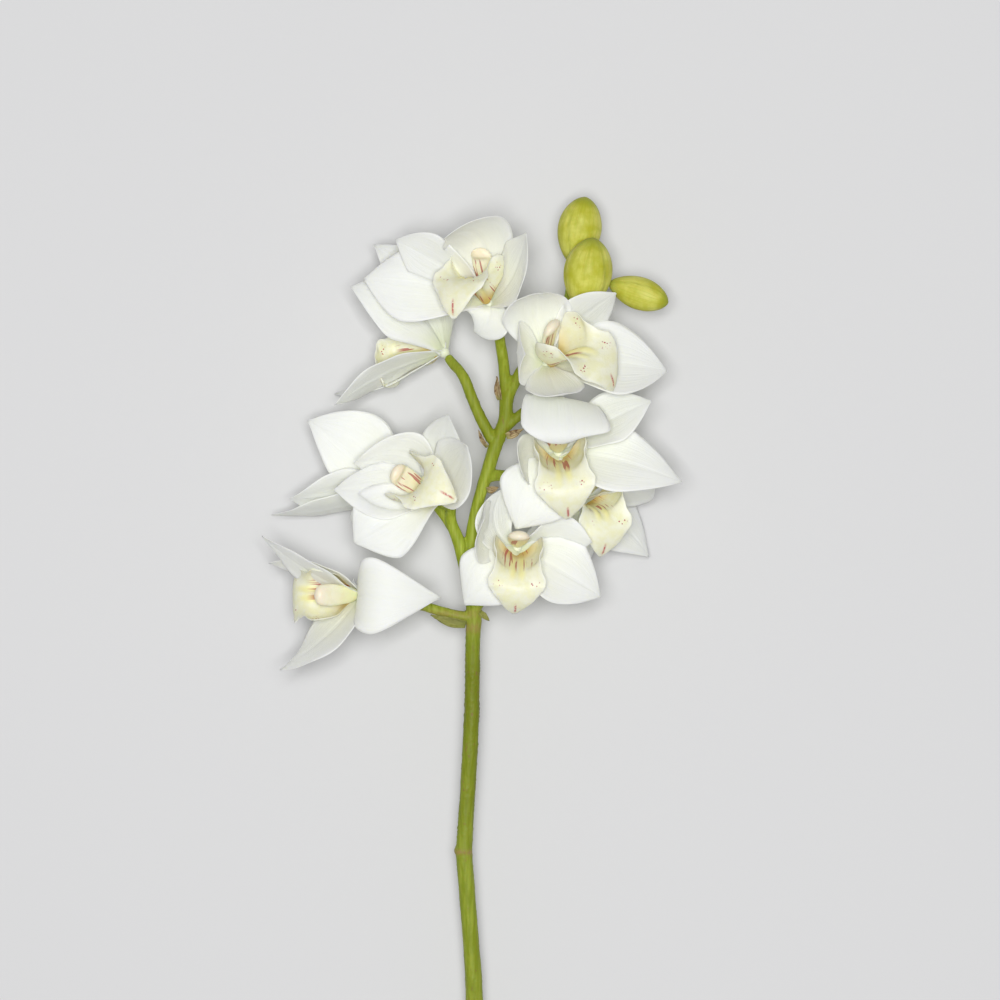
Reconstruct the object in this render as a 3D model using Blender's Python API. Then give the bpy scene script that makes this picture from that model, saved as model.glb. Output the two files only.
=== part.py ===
"""Cymbidium orchid stem: nine white blooms, three green buds and dry bracts on one green stem.

The stem lies on its back on z = 0. Millimetres here, metres in the file. The layout keeps x across
and y along the stem and z upward, and SHIFT moves it so that the base of its box is centred on the origin.
"""
import math

import bmesh
import bpy
import numpy as np

# Driving sizes, in millimetres
SHIFT = np.array([14.2, 129.25, 56.5])
GAP = 0.35
HUB_RADIUS = 3.6
TEPAL_THICK = 0.75
TEPAL_WAVE = 0.9
TEPAL_ROWS = 6
TEPAL_COLS = 4
CLAW = 0.16
LIP_THICK = 0.7
LIP_ROWS = 7
LIP_COLS = 6
COLUMN_ROWS = 6
COLUMN_SIDES = 6
STEM_SIDES = 9
BUD_ROWS = 8
BUD_SIDES = 10

# The lip's middle line as (forward, up), its half width and how far its sides curl up
LIP_LINE = [(-0.9, -1.7), (10, -4), (22, -5), (35, -11), (31, -25), (17, -32)]
LIP_AT = [0, 0.08, 0.18, 0.30, 0.38, 0.44, 0.50, 0.57, 0.66, 0.76, 0.86, 0.94, 1.0]
LIP_HALF = [2.6, 8, 19, 26, 24, 17, 14.5, 16.2, 15.2, 12.2, 8.6, 5, 1.0]
LIP_CURL_AT = [0, 0.12, 0.3, 0.42, 0.5, 0.58, 0.7, 1.0]
LIP_CURL = [60, 95, 110, 95, 45, 10, -12, -5]
COLUMN_LINE = [(0, 1), (8, 2.5), (18, 8), (26, 8)]

# Each bloom: its seat, the way it faces, the way its lip hangs, and five tepals as tip offsets from the seat
BLOOMS = {
    "A": dict(seat=(-5.2, 97.5, 14), facing=(-0.3, 0.7, 0.65), lip=(-0.36, -0.7, 0.6),
              scale=0.95, tepals=[
        dict(tip=(-62.5, 12.4, -1.5), looks=(0.02, 0.35, 0.94), bow=4.2, sway=0.9, width=40.4,
             twist=-9, cup=(0.34, -0.2), widest=0.66),
        dict(tip=(-46.4, 31.4, 7.1), looks=(-0.02, -0.76, 0.65), bow=0.3, sway=4.2, width=30.6,
             twist=4, cup=(0.43, 0.07), widest=0.72),
        dict(tip=(-22.7, 30, 36), looks=(0.1, -0.5, 0.8), handles=[(2.3, 18, -4), (-0.7, 37, 5),
             (-10.7, 40, 31)], width=35, cup=(0.2, 0), widest=0.66),
        dict(tip=(18, 33.5, 33.3), looks=(-0.74, 0.25, 0.62), bow=-2.2, sway=3.6, width=33,
             twist=8, cup=(0.2, 0.08), widest=0.57),
        dict(tip=(-7.7, -13.5, -3), looks=(-0.2, -0.3, 1), handles=[(1.3, -2, 6), (-0.7, -13, 4)],
             width=24)]),
    "B": dict(seat=(-28, 74, -10), facing=(-0.72, 0.1, -0.65), lip=(-0.62, -0.6, 0.5),
              scale=0.86, tepals=[
        dict(tip=(-46.4, 32.3, 14.1), looks=(-0.33, -0.59, -0.74), bow=-6.1, sway=-2.9,
             width=36.9, twist=-2, cup=(0.43, 0.06), widest=0.61),
        dict(tip=(-35.4, 54.3, -6), looks=(-0.35, -0.54, -0.76), bow=-7.1, sway=-6.5, width=37.7,
             twist=-5, cup=(0.29, -0), widest=0.56),
        dict(tip=(-54.5, -26.5, 10.1), looks=(-0.3, 0.86, -0.4), bow=3.8, sway=0.2, width=31,
             cup=(0.1, 0), widest=0.6),
        dict(tip=(-56, -20, -38), looks=(-0.3, 0.86, 0.4), bow=-3, sway=0, width=30),
        dict(tip=(-14, 40, -46), looks=(-0.7, 0, 0.6), bow=-4, sway=0)]),
    "C": dict(seat=(23.3, 67.3, 16), facing=(0.36, 0.43, 0.82), lip=(0.75, -0.66, 0.02),
              scale=1.00, tepals=[
        dict(tip=(59.8, -3.1, -3.3), looks=(-0.02, 0.55, 0.84), bow=4.1, sway=0.3, width=43.1,
             twist=1, cup=(0.57, 0.07), widest=0.59),
        dict(tip=(34, 35, 12.1), looks=(0.43, -0.67, 0.6), bow=-5.4, sway=0.5, width=31.2,
             twist=-8, cup=(0.31, -0.22), widest=0.65),
        dict(tip=(-3, 34, 34), looks=(0.2, -0.7, 0.7), handles=[(-6, 20, 2), (-8, 37, 16)],
             width=35, cup=(0.25, 0.1)),
        dict(tip=(-11, 4, 38), looks=(0.9, 0, 0.4), handles=[(-12, 6, 4), (-19, 6, 22)], width=32,
             cup=(0.2, 0)),
        dict(tip=(9, -15, 45), looks=(0, 0.7, 0.7), handles=[(0, -8, 18), (6, -19, 42)], width=29,
             cup=(0.2, 0))]),
    "D": dict(seat=(29, 22.7, 16), facing=(0.04, -0.01, 1), lip=(0.12, -0.99, -0.02),
              scale=0.95, tepals=[
        dict(tip=(4, 5, 33), looks=(0, -0.3, 1), handles=[(0, 20, -6), (1, 41, 0), (3, 31, 27),
             (4, 9, 43)], width=45, cup=(0.1, 0.03), widest=0.8),
        dict(tip=(45.7, 26.3, 9.1), looks=(-0.6, 0.43, 0.68), bow=0.8, sway=-1.7, width=33.6,
             twist=1, cup=(0.34, -0.08), widest=0.62),
        dict(tip=(61, -13.8, 10.9), looks=(-0.03, 0.52, 0.85), bow=6.3, sway=0.3, width=37.5,
             twist=-9, cup=(0.33, -0.06), widest=0.48),
        dict(tip=(-21, -37, 12), looks=(0.1, 0.3, 1), bow=9, sway=0, width=38, cup=(0.1, -0.25),
             widest=0.62),
        dict(tip=(-17, -12, 30), looks=(0.9, 0.1, 0.4), handles=[(-16, 2, 2), (-21, -5, 18)],
             width=26, cup=(0.2, 0))]),
    "E": dict(seat=(41, 0, -21), facing=(0.35, 0.1, 0.93), lip=(0.1, -0.98, 0.1),
              scale=0.90, tepals=[
        dict(tip=(36.7, 6, 11.1), looks=(0.37, -0.9, 0.25), bow=-0.2, sway=2.6, width=36.5,
             twist=-12, cup=(0.04, 0.19), widest=0.61),
        dict(tip=(34.6, -28.9, -20.7), looks=(0.37, 0.38, 0.85), bow=0.3, sway=-4.4, width=36.2,
             twist=-12, cup=(0.25, -0.13), widest=0.48),
        dict(tip=(20, -18, -35.4), looks=(0.2, -0.2, 1), bow=3, sway=0),
        dict(tip=(-22, -38, -22), looks=(0.3, 0, 0.9), bow=3, sway=0),
        dict(tip=(-14, 36, -2), looks=(0.1, -0.6, 0.6), bow=3, sway=0, width=30)]),
    "F": dict(seat=(8.4, -24, 14), facing=(0.02, -0.1, 0.99), lip=(-0.05, -0.99, -0.1),
              scale=0.90, tepals=[
        dict(tip=(-7.9, 29, 9.3), looks=(0.77, -0.26, 0.59), bow=-3.5, sway=-7.4, width=27,
             twist=5, cup=(0.17, 0.03), widest=0.58),
        dict(tip=(37.1, 3.2, 4.5), looks=(0.12, -0.75, 0.65), bow=-4.5, sway=0, width=30.1,
             twist=-9, cup=(0.27, -0.31), widest=0.64),
        dict(tip=(41.6, -24, 3.7), looks=(0.13, 0.46, 0.88), bow=4.6, sway=1.2, width=38.8,
             twist=-1, cup=(0.3, -0.05), widest=0.54),
        dict(tip=(-26, -28, 8), looks=(0.1, 0.3, 1), bow=9, sway=0, width=34, cup=(0.1, -0.25),
             widest=0.6),
        dict(tip=(-16, 15, 36), looks=(0.9, -0.1, 0.4), handles=[(-16, 6, 2), (-22, 10, 20)],
             width=32, cup=(0.2, 0))]),
    "G": dict(seat=(-31, 0.4, 14), facing=(-0.56, 0.41, 0.72), lip=(0.66, -0.28, 0.69),
              scale=0.93, tepals=[
        dict(tip=(5.3, 41.6, 14.1), looks=(-0.71, -0.25, 0.66), bow=-2.4, sway=-2.3, width=33.8,
             twist=-1, cup=(0.23, -0.06), widest=0.55),
        dict(tip=(14.8, 26.1, 34.1), looks=(-0.86, -0.02, 0.5), bow=-1.9, sway=0.1, width=38.7,
             twist=10, cup=(0.53, -0.17), widest=0.52),
        dict(tip=(-41.6, 18, 0), looks=(0.62, -0.65, 0.44), bow=-11.9, sway=1.9, width=41.3,
             twist=-6, cup=(0.24, 0.04), widest=0.48),
        dict(tip=(-51.4, 4.6, 4.1), looks=(0.04, 0.44, 0.9), bow=0.3, sway=1.4, width=32.1,
             twist=1, cup=(0.25, -0.07), widest=0.55),
        dict(tip=(-41.4, -21.7, 5.8), looks=(0.14, 0.34, 0.93), bow=4.9, sway=1.4, width=39.1,
             twist=-7, cup=(0.36, -0.19), widest=0.68)]),
    "H": dict(seat=(-52, 6, -18), facing=(-0.6, 0, -0.8), lip=(0.8, 0, -0.6),
              scale=0.85, tepals=[
        dict(tip=(-44.4, 33.7, 6.8), looks=(-0.06, 0.1, -0.99), bow=-3, sway=-4, width=38.8,
             twist=1, cup=(0.27, -0.08), widest=0.52),
        dict(tip=(-53.4, -5.5, 8), looks=(-0.17, 0.86, -0.49), bow=1.4, sway=1.9, width=35,
             twist=3, cup=(0.42, -0.05), widest=0.58),
        dict(tip=(-63.6, -13.6, -16.6), looks=(-0.02, 0.98, -0.2), bow=-3.1, sway=-0.5, width=34,
             twist=-2, cup=(0.23, 0), widest=0.54),
        dict(tip=(-14, 36, -36), looks=(-0.4, -0.4, -0.8), bow=3, sway=0),
        dict(tip=(-10, -28, -35), looks=(-0.4, 0.4, -0.8), bow=3, sway=0)]),
    "I": dict(seat=(-68.8, -47.2, 6), facing=(-0.94, 0.01, 0.35), lip=(-0.35, 0.02, -0.94),
              scale=0.92, tepals=[
        dict(tip=(39.4, -1, 20), looks=(0.2, 0, 1), handles=[(-6, 0, 22), (2, 0, 34)], width=38,
             cup=(0.1, -0.1)),
        dict(tip=(-49.6, 29.3, 6.8), looks=(-0.12, -0.94, 0.32), bow=4.5, sway=3, width=28,
             cup=(0.2, 0.04), widest=0.5),
        dict(tip=(-46.7, 15.6, -10), looks=(-0.1, -0.92, 0.38), handles=[(-10, 10, -1), (-28, 14,
             -5)], width=27, cup=(0.15, 0)),
        dict(tip=(-40.7, -37.4, 5.8), looks=(-0.47, 0.75, 0.47), bow=-0.6, sway=-5.6, width=37,
             twist=16, cup=(0.29, -0.18), widest=0.49),
        dict(tip=(-9.2, -22.8, -46), looks=(-0.7, 0.5, 0.5), bow=4, sway=0)]),
}

# The stem from its cut foot to the last bud stalk, as (point, radius)
STEM = [
    ((-12, -410, -52), 4.6), ((-11.5, -350, -41), 4.5), ((-12, -300, -33), 4.4), ((-13, -250, -24),
    4.4), ((-14.5, -225, -21), 4.1), ((-18, -180, -16), 4.2), ((-18.7, -177, -16), 4.6), ((-18, -174,
    -15), 4.1), ((-16.5, -150, -13), 3.9), ((-15, -125, -10), 3.9), ((-14, -100, -8), 3.8), ((-13.6,
    -70, -5), 3.7), ((-13, -55, -3), 3.9), ((-15.5, -38, -2), 3.6), ((-14.5, -22, -1), 3.4), ((-12.5,
    -8, 0), 3), ((-9.5, 4, 0), 3), ((-6, 15, 0), 3.3), ((-2, 28, 0), 3.5), ((2.5, 40, 0), 3.5), ((3.4,
    50, 0), 3.3), ((7, 58, -1), 2.9), ((16, 74, -4), 2.6), ((28, 92, -5), 2.4), ((34, 98, -5), 2.3)]

# Flower and bud stalks, from inside the stem outward
STALKS = {
    "A": [
        ((2.8, 48, 0), 3.2), ((2.4, 62, -2), 2.9), ((0.6, 76, -5), 2.8)],
    "C": [
        ((10, 65, -2), 2.5), ((15, 62.5, 0), 2.5)],
    "D": [
        ((2.5, 36, 0), 2.6), ((12, 44, 1), 2.5), ((20, 47, 1), 2.5), ((26, 41, 0), 2.5), ((28.5, 31, 0),
        2.5)],
    "E": [
        ((-7, 11.5, 0), 3), ((2.5, 12, -4), 2.8), ((16, 6, -16), 2.6), ((30, 0, -27), 2.6)],
    "F": [
        ((-13, -54, -2), 3.4), ((-7, -46, 0), 3), ((1, -35, 0), 2.8)],
    "G": [
        ((-17, -35, 0), 3.2), ((-21, -20, 1), 3.1), ((-24.5, -11, 2), 3)],
    "H": [
        ((-17, -26, -3), 2.8), ((-25, -12, -7), 2.7), ((-36, 2, -9), 2.6)],
    "I": [
        ((-15, -59, -3), 2.8), ((-25, -57, -2), 2.6), ((-40, -52.5, 0), 2.5)],
    "top_bud": [
        ((33, 96.5, -5), 2.1), ((35, 106, -11), 2.1), ((35.8, 114.1, -13.6), 2), ((36.4, 117.4, -13.1),
        1.9)],
    "middle_bud": [
        ((30, 93, -5), 2.1), ((36, 89, -1), 2.1), ((40.4, 90.1, 4.4), 2), ((40.9, 93.4, 4.9), 1.9)],
    "right_bud": [
        ((33, 97, -6), 2.1), ((43, 107, -9), 2.1), ((50.7, 110.1, -5.6), 2), ((53.8, 109, -5.1), 1.9)],
    "to_B": [
        ((-4, 30, 0), 3), ((-12, 46, 1), 2.8), ((-18, 61, 1.5), 2.7), ((-24, 68.8, -5.4), 2.5), ((-26,
        71.4, -7.7), 2.3)],
}

BUDS = {
    "top": ((36.5, 118, -13), (43, 152, -8), 11.2),
    "middle": ((41, 94, 5), (46.5, 130.5, 11), 12.3),
    "right": ((54.4, 108.8, -5), (84, 98.5, 0), 8.4),
}

# Dry bracts where the stalks leave the stem: root point and blade
BRACTS = [
    ((-0.5, 50, 1), dict(tip=(-1.8, 12, 1), looks=(-1, 0, 0.6), bow=0.4, sway=0,
          width=6)),
    ((3.8, 32.5, 0.9), dict(tip=(9, 3.4, 2), looks=(0.3, -0.5, 0.8), bow=0.5, sway=0,
          width=5)),
    ((-5.7, 5.1, 1.6), dict(tip=(6.3, 1.4, 1.5), looks=(0.2, -0.6, 0.8), bow=0.4, sway=0,
          width=4.6)),
    ((-6.8, 26.5, 0.9), dict(tip=(-4.8, 8.5, 0.5), looks=(-1, -0.3, 0.5), bow=0.5, sway=0,
          width=4.6)),
    ((-17.3, -62.9, -1.7), dict(tip=(-18, 4.6, 1.5), looks=(0, -0.7, 0.7), bow=0.8, sway=0,
          width=7)),
    ((-9.3, -56, -0.3), dict(tip=(5, -4.6, 2), looks=(0.5, -0.3, 0.8), bow=0.4, sway=0,
          width=3)),
]


def unit(v):
    v = np.array(v, float)
    return v / np.linalg.norm(v)


def bezier(points, t):
    pts = [np.array(p, float) for p in points]
    while len(pts) > 1:
        pts = [a + (b - a) * t for a, b in zip(pts, pts[1:])]
    return pts[0]


def tangents(line):
    t = np.gradient(line, axis=0)
    return t / np.linalg.norm(t, axis=1)[:, None]


# A tepal's half width along its length, from the narrow claw to the pointed tip
def tepal_profile(u, widest):
    if u < widest:
        return CLAW + (1 - CLAW) * math.sin(math.pi / 2 * u / widest) ** 1.4
    return max(1 - ((u - widest) / (1 - widest)) ** 1.75, 0.035)


# One tepal as a grid of points: a curved midrib with cupped, lightly waved cross-sections
def tepal_grid(seat, tepal, phase):
    tip = seat + np.array(tepal["tip"], float)
    looks = unit(tepal["looks"])
    along = unit(tip - seat)
    out = unit(looks - looks.dot(along) * along)
    side = np.cross(along, out)
    if "handles" in tepal:
        controls = [seat] + [seat + np.array(h, float) for h in tepal["handles"]] + [tip]
    else:
        bend = out * tepal["bow"] * 2 + side * tepal["sway"] * 2
        controls = [seat, seat + (tip - seat) * 0.45 + bend, tip]
    us = np.linspace(0, 1, TEPAL_ROWS + 1)
    mids = np.array([bezier(controls, u) for u in us])
    tang = tangents(mids)
    norms = np.zeros_like(mids)
    start = TEPAL_ROWS // 3
    norms[start] = unit(looks - looks.dot(tang[start]) * tang[start])
    for i in range(start + 1, TEPAL_ROWS + 1):
        norms[i] = unit(norms[i - 1] - norms[i - 1].dot(tang[i]) * tang[i])
    for i in range(start - 1, -1, -1):
        norms[i] = unit(norms[i + 1] - norms[i + 1].dot(tang[i]) * tang[i])
    cup = tepal.get("cup", (0.30, -0.06))
    grid = np.zeros((TEPAL_ROWS + 1, TEPAL_COLS + 1, 3))
    for i, u in enumerate(us):
        turn = math.radians(tepal.get("twist", 0)) * (u - 0.33)
        n = norms[i] * math.cos(turn) + np.cross(tang[i], norms[i]) * math.sin(turn)
        s = np.cross(tang[i], n)
        w = tepal.get("width", 37.0) / 2 * tepal_profile(u, tepal.get("widest", 0.54))
        for j in range(TEPAL_COLS + 1):
            v = -1 + 2 * j / TEPAL_COLS
            lift = (cup[0] + (cup[1] - cup[0]) * u) * w * v * v
            wave = TEPAL_WAVE * math.sin(5 * u + 1.7 * phase + (2.1 if v > 0 else 0))
            wave *= abs(v) ** 3 * math.sin(math.pi * u)
            grid[i, j] = mids[i] + s * w * v + n * (lift + wave)
    return grid


# The lip: a trough with two raised side lobes, two keels and a front lobe that turns down to a point
def lip_grid(seat, facing, up, scale):
    right = np.cross(up, facing)
    us = np.linspace(0, 1, LIP_ROWS + 1)
    mids = np.array([bezier(LIP_LINE, u) for u in us])
    tang = tangents(mids)
    grid = np.zeros((LIP_ROWS + 1, LIP_COLS + 1, 3))
    for i, s in enumerate(us):
        half = np.interp(s, LIP_AT, LIP_HALF)
        curl = math.radians(np.interp(s, LIP_CURL_AT, LIP_CURL))
        for j in range(LIP_COLS + 1):
            v = -1 + 2 * j / LIP_COLS
            x = half / curl * math.sin(curl * v)
            y = half / curl * (1 - math.cos(curl * v))
            keel = 1.1 * math.exp(-((abs(v) * half - 2.6) / 1.4) ** 2)
            keel *= np.interp(s, [0, 0.2, 0.45, 0.6], [0, 1, 1, 0])
            y += keel + 0.8 * math.sin(9 * s + 2.5 * v) * abs(v) ** 3 * (1 if s > 0.55 else 0.2)
            along, over = mids[i] + np.array([-tang[i][1], tang[i][0]]) * y
            grid[i, j] = seat + (facing * along + up * over + right * x) * scale
    return grid


# The column: an arched half-round rod, hollowed underneath, that ends in a rounded cap
def column_rings(seat, facing, up, scale, grow=0.0):
    right = np.cross(up, facing)
    us = np.linspace(0, 1, COLUMN_ROWS + 1)
    mids = np.array([bezier(COLUMN_LINE, u) for u in us])
    tang = tangents(mids)
    rings = []
    for i, s in enumerate(us):
        half = grow + np.interp(s, [0, 0.15, 0.6, 0.85, 0.95, 1], [2.8, 4.4, 6.2, 5.8, 4.0, 1.2])
        top = grow + np.interp(s, [0, 0.5, 0.85, 0.95, 1], [2.0, 2.6, 3.3, 2.4, 0.8])
        under = grow + np.interp(s, [0, 0.2, 0.75, 0.85, 1], [1.8, 0.8, 0.8, 2.4, 0.6])
        ring = []
        for j in range(COLUMN_SIDES):
            q = 2 * math.pi * j / COLUMN_SIDES
            y = (top if math.sin(q) > 0 else under) * math.sin(q)
            along, over = mids[i] + np.array([-tang[i][1], tang[i][0]]) * y
            ring.append(seat + (facing * along + up * over + right * half * math.cos(q)) * scale)
        rings.append(ring)
    return rings


# A round rod through a list of (point, radius), smoothed between them
def rod_rings(stations, sides, steps):
    pts = np.array([p for p, r in stations], float)
    ext = np.vstack([2 * pts[0] - pts[1], pts, 2 * pts[-1] - pts[-2]])
    line = []
    radii = []
    for i in range(1, len(ext) - 2):
        a, b, c, d = ext[i - 1:i + 3]
        for k in range(steps):
            t = k / steps
            q = -a + 3 * b - 3 * c + d
            line.append(0.5 * (2 * b + (c - a) * t + (2 * a - 5 * b + 4 * c - d) * t * t + q * t ** 3))
            radii.append(stations[i - 1][1] * (1 - t) + stations[i][1] * t)
    line.append(pts[-1])
    radii.append(stations[-1][1])
    line = np.array(line)
    tang = tangents(line)
    n = unit(np.cross(tang[0], [0.3, 0.2, 1.0]))
    rings = []
    for centre, t, r in zip(line, tang, radii):
        n = unit(n - n.dot(t) * t)
        b = np.cross(t, n)
        turn = [2 * math.pi * j / sides for j in range(sides)]
        rings.append([centre + r * (n * math.cos(q) + b * math.sin(q)) for q in turn])
    return rings


def bud_rings(base, tip, radius):
    base, tip = np.array(base, float), np.array(tip, float)
    stations = []
    for t in np.linspace(0, 1, BUD_ROWS + 1):
        r = radius * math.sin(math.pi * t ** 1.12) ** 0.55 if 0 < t < 1 else 0.0
        stations.append((base + (tip - base) * t, max(r, 2.4 if t == 0 else 0.7)))
    rings = rod_rings(stations, BUD_SIDES, 1)
    axis = unit(tip - base)
    for i, ring in enumerate(rings):
        centre = sum(ring) / len(ring)
        for j, p in enumerate(ring):
            groove = 1 - 0.05 * math.cos(3 * 2 * math.pi * j / len(ring) + 0.6) ** 6
            ring[j] = centre + (p - centre) * groove
    return rings


def place(points):
    return [((np.array(p) + SHIFT) / 1000).tolist() for p in points]


def new_object(name, verts, faces, finish):
    mesh = bpy.data.meshes.new(name)
    mesh.from_pydata(verts, [], faces)
    mesh.update()
    bm = bmesh.new()
    bm.from_mesh(mesh)
    bmesh.ops.recalc_face_normals(bm, faces=bm.faces)
    bmesh.ops.triangulate(bm, faces=[f for f in bm.faces if len(f.verts) > 4])
    bm.to_mesh(mesh)
    bm.free()
    obj = bpy.data.objects.new(name, mesh)
    bpy.context.collection.objects.link(obj)
    mesh.materials.append(finish)
    return obj


# A closed blade: the grid pushed out to both sides, cut into the same triangles on each, and joined by a rim
def sheet(name, grid, thick, finish):
    rows, cols = grid.shape[:2]
    across = np.gradient(grid, axis=1)
    along = np.gradient(grid, axis=0)
    n = np.cross(along, across)
    n /= np.linalg.norm(n, axis=2)[:, :, None]
    front = (grid + n * thick / 2).reshape(-1, 3)
    back = (grid - n * thick / 2).reshape(-1, 3)
    total = rows * cols
    faces = []
    for i in range(rows - 1):
        for j in range(cols - 1):
            a, b = i * cols + j, i * cols + j + 1
            c, d = a + cols, b + cols
            pairs = [(a, b, d), (a, d, c)] if j < cols // 2 else [(a, b, c), (b, d, c)]
            faces += pairs
            faces += [tuple(total + k for k in reversed(f)) for f in pairs]
    edge = [j for j in range(cols)] + [i * cols + cols - 1 for i in range(1, rows)]
    edge += [(rows - 1) * cols + j for j in range(cols - 2, -1, -1)]
    edge += [i * cols for i in range(rows - 2, 0, -1)]
    for a, b in zip(edge, edge[1:] + edge[:1]):
        faces += [(b, a, a + total), (b, a + total, b + total)]
    return new_object(name, place(front) + place(back), faces, finish)


def rod(name, rings, finish):
    sides = len(rings[0])
    faces = []
    for i in range(len(rings) - 1):
        for j in range(sides):
            k = (j + 1) % sides
            a, b = i * sides + j, i * sides + k
            c, d = a + sides, b + sides
            faces += [(a, b, d), (a, d, c)]
    faces.append(tuple(range(sides)))
    faces.append(tuple((len(rings) - 1) * sides + j for j in range(sides)))
    return new_object(name, place([p for ring in rings for p in ring]), faces, finish)


# Pockets closed in between crossing claws are filled: only the outer shell is kept
def keep_outside(body, flat=0.0):
    bm = bmesh.new()
    bm.from_mesh(body.data)
    bmesh.ops.remove_doubles(bm, verts=bm.verts, dist=1e-6)
    shells = []
    left = set(bm.verts)
    while left:
        shell = {left.pop()}
        front = list(shell)
        while front:
            for edge in front.pop().link_edges:
                for v in edge.verts:
                    if v in left:
                        left.discard(v)
                        shell.add(v)
                        front.append(v)
        shells.append(shell)
    shells.sort(key=len)
    bmesh.ops.delete(bm, geom=[v for shell in shells[:-1] for v in shell], context="VERTS")
    if flat:
        bmesh.ops.dissolve_limit(bm, angle_limit=flat, verts=bm.verts, edges=bm.edges)
    bmesh.ops.triangulate(bm, faces=bm.faces)
    bm.to_mesh(body.data)
    bm.free()


# One Boolean union welds every piece in the list into the first
def fuse(name, pieces):
    group = bpy.data.collections.new(name + "_pieces")
    for piece in pieces[1:]:
        group.objects.link(piece)
    body = pieces[0]
    union = body.modifiers.new("join", "BOOLEAN")
    union.operation = "UNION"
    union.operand_type = "COLLECTION"
    union.collection = group
    union.solver = "EXACT"
    bpy.context.view_layer.objects.active = body
    body.select_set(True)
    bpy.ops.object.modifier_apply(modifier=union.name)
    for piece in pieces[1:]:
        bpy.data.objects.remove(piece)
    bpy.data.collections.remove(group)
    body.name = name
    keep_outside(body)
    return body


# The grid with its border pushed outward, for a cutter that clears the rim as well
def grown(grid, by):
    grid = grid.copy()
    for rim, inner in ((0, 1), (-1, -2)):
        step = grid[:, rim] - grid[:, inner]
        grid[:, rim] += step / np.linalg.norm(step, axis=1)[:, None] * by
        step = grid[rim] - grid[inner]
        grid[rim] += step / np.linalg.norm(step, axis=1)[:, None] * by
    return grid


# A relief: the tepals keep clear of whatever stands in front of them
def relieve(body, cutters):
    for cutter in cutters:
        cut = body.modifiers.new("relief", "BOOLEAN")
        cut.operation = "DIFFERENCE"
        cut.object = cutter
        cut.solver = "EXACT"
        bpy.context.view_layer.objects.active = body
        bpy.ops.object.modifier_apply(modifier=cut.name)
        bpy.data.objects.remove(cutter)
    keep_outside(body, 0.004)


def finish(name, colour, roughness):
    m = bpy.data.materials.new(name)
    m.use_nodes = True
    shader = m.node_tree.nodes["Principled BSDF"]
    shader.inputs["Base Color"].default_value = (*colour, 1)
    shader.inputs["Roughness"].default_value = roughness
    return m


def ball_rings(centre, axis, radius):
    axis = unit(axis)
    stations = [(centre - axis * radius * math.cos(q), max(radius * math.sin(q), 0.5)) for q in
                [0.15, 0.9, 1.57, 2.24, 2.99]]
    return rod_rings(stations, 8, 1)


for obj in list(bpy.data.objects):
    bpy.data.objects.remove(obj, do_unlink=True)

tepal_white = finish("tepal_white", (0.86, 0.88, 0.82), 0.5)
lip_cream = finish("lip_cream", (0.85, 0.82, 0.52), 0.45)
column_cream = finish("column_cream", (0.80, 0.70, 0.50), 0.45)
stem_green = finish("stem_green", (0.25, 0.32, 0.05), 0.5)
bud_green = finish("bud_green", (0.50, 0.50, 0.13), 0.5)
bract_brown = finish("bract_brown", (0.42, 0.30, 0.16), 0.8)

# The nine blooms, each as three nodes: tepals on a small hub, the lip, the column
for letter, bloom in BLOOMS.items():
    seat = np.array(bloom["seat"], float)
    facing = unit(bloom["facing"])
    down = np.array(bloom["lip"], float)
    up = -unit(down - down.dot(facing) * facing)
    scale = bloom["scale"]
    pieces = [rod("hub", ball_rings(seat, facing, HUB_RADIUS), tepal_white)]
    for i, tepal in enumerate(bloom["tepals"]):
        pieces.append(sheet("tepal", tepal_grid(seat, tepal, i + ord(letter)), TEPAL_THICK, tepal_white))
    body = fuse(f"bloom_{letter}_tepals", pieces)
    front = seat + facing * (HUB_RADIUS + GAP)
    lip = lip_grid(front - up * 1.5, facing, up, scale)
    column = column_rings(front + up * 1.5, facing, up, scale)
    wide_column = column_rings(front + up * 1.5, facing, up, scale, GAP)
    lip_cut = sheet("cut", grown(lip, GAP), LIP_THICK + 2 * GAP, tepal_white)
    relieve(body, [lip_cut, rod("cut", wide_column, tepal_white)])
    sheet(f"bloom_{letter}_lip", lip, LIP_THICK, lip_cream)
    rod(f"bloom_{letter}_column", column, column_cream)

# The stem, the flower stalks and the bud stalks welded into one
stems = [rod("stem", rod_rings(STEM, STEM_SIDES, 1), stem_green)]
for letter, stations in STALKS.items():
    ends = []
    if letter in BLOOMS:
        seat = np.array(BLOOMS[letter]["seat"], float)
        facing = unit(BLOOMS[letter]["facing"])
        ends = [(tuple(seat - facing * 11), 2.5), (tuple(seat - facing * (HUB_RADIUS + GAP)), 2.3)]
    stems.append(rod("stalk", rod_rings(stations + ends, 7, 1), stem_green))
fuse("stem", stems)

for name, (base, tip, radius) in BUDS.items():
    rod(f"bud_{name}", bud_rings(base, tip, radius), bud_green)

for i, (root, blade) in enumerate(BRACTS, 1):
    sheet(f"bract_{i}", tepal_grid(np.array(root, float), blade, i), TEPAL_THICK, bract_brown)
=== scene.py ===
# %% [markdown]
# A cut spray of cymbidium lies on its back on a pale table, seen from straight above.
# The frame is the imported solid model: a stem, nine blooms of three nodes each, three buds and six bracts.
# Those solids are coarse on purpose, so every one of them gets a finer skin here, from the same numbers.
# The skins could be sculpted by eye, but formulas keep each petal exactly where its solid is.

# %% Load the frame and keep its box
import math

import bmesh
import bpy
import numpy as np
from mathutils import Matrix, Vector, noise


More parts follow.
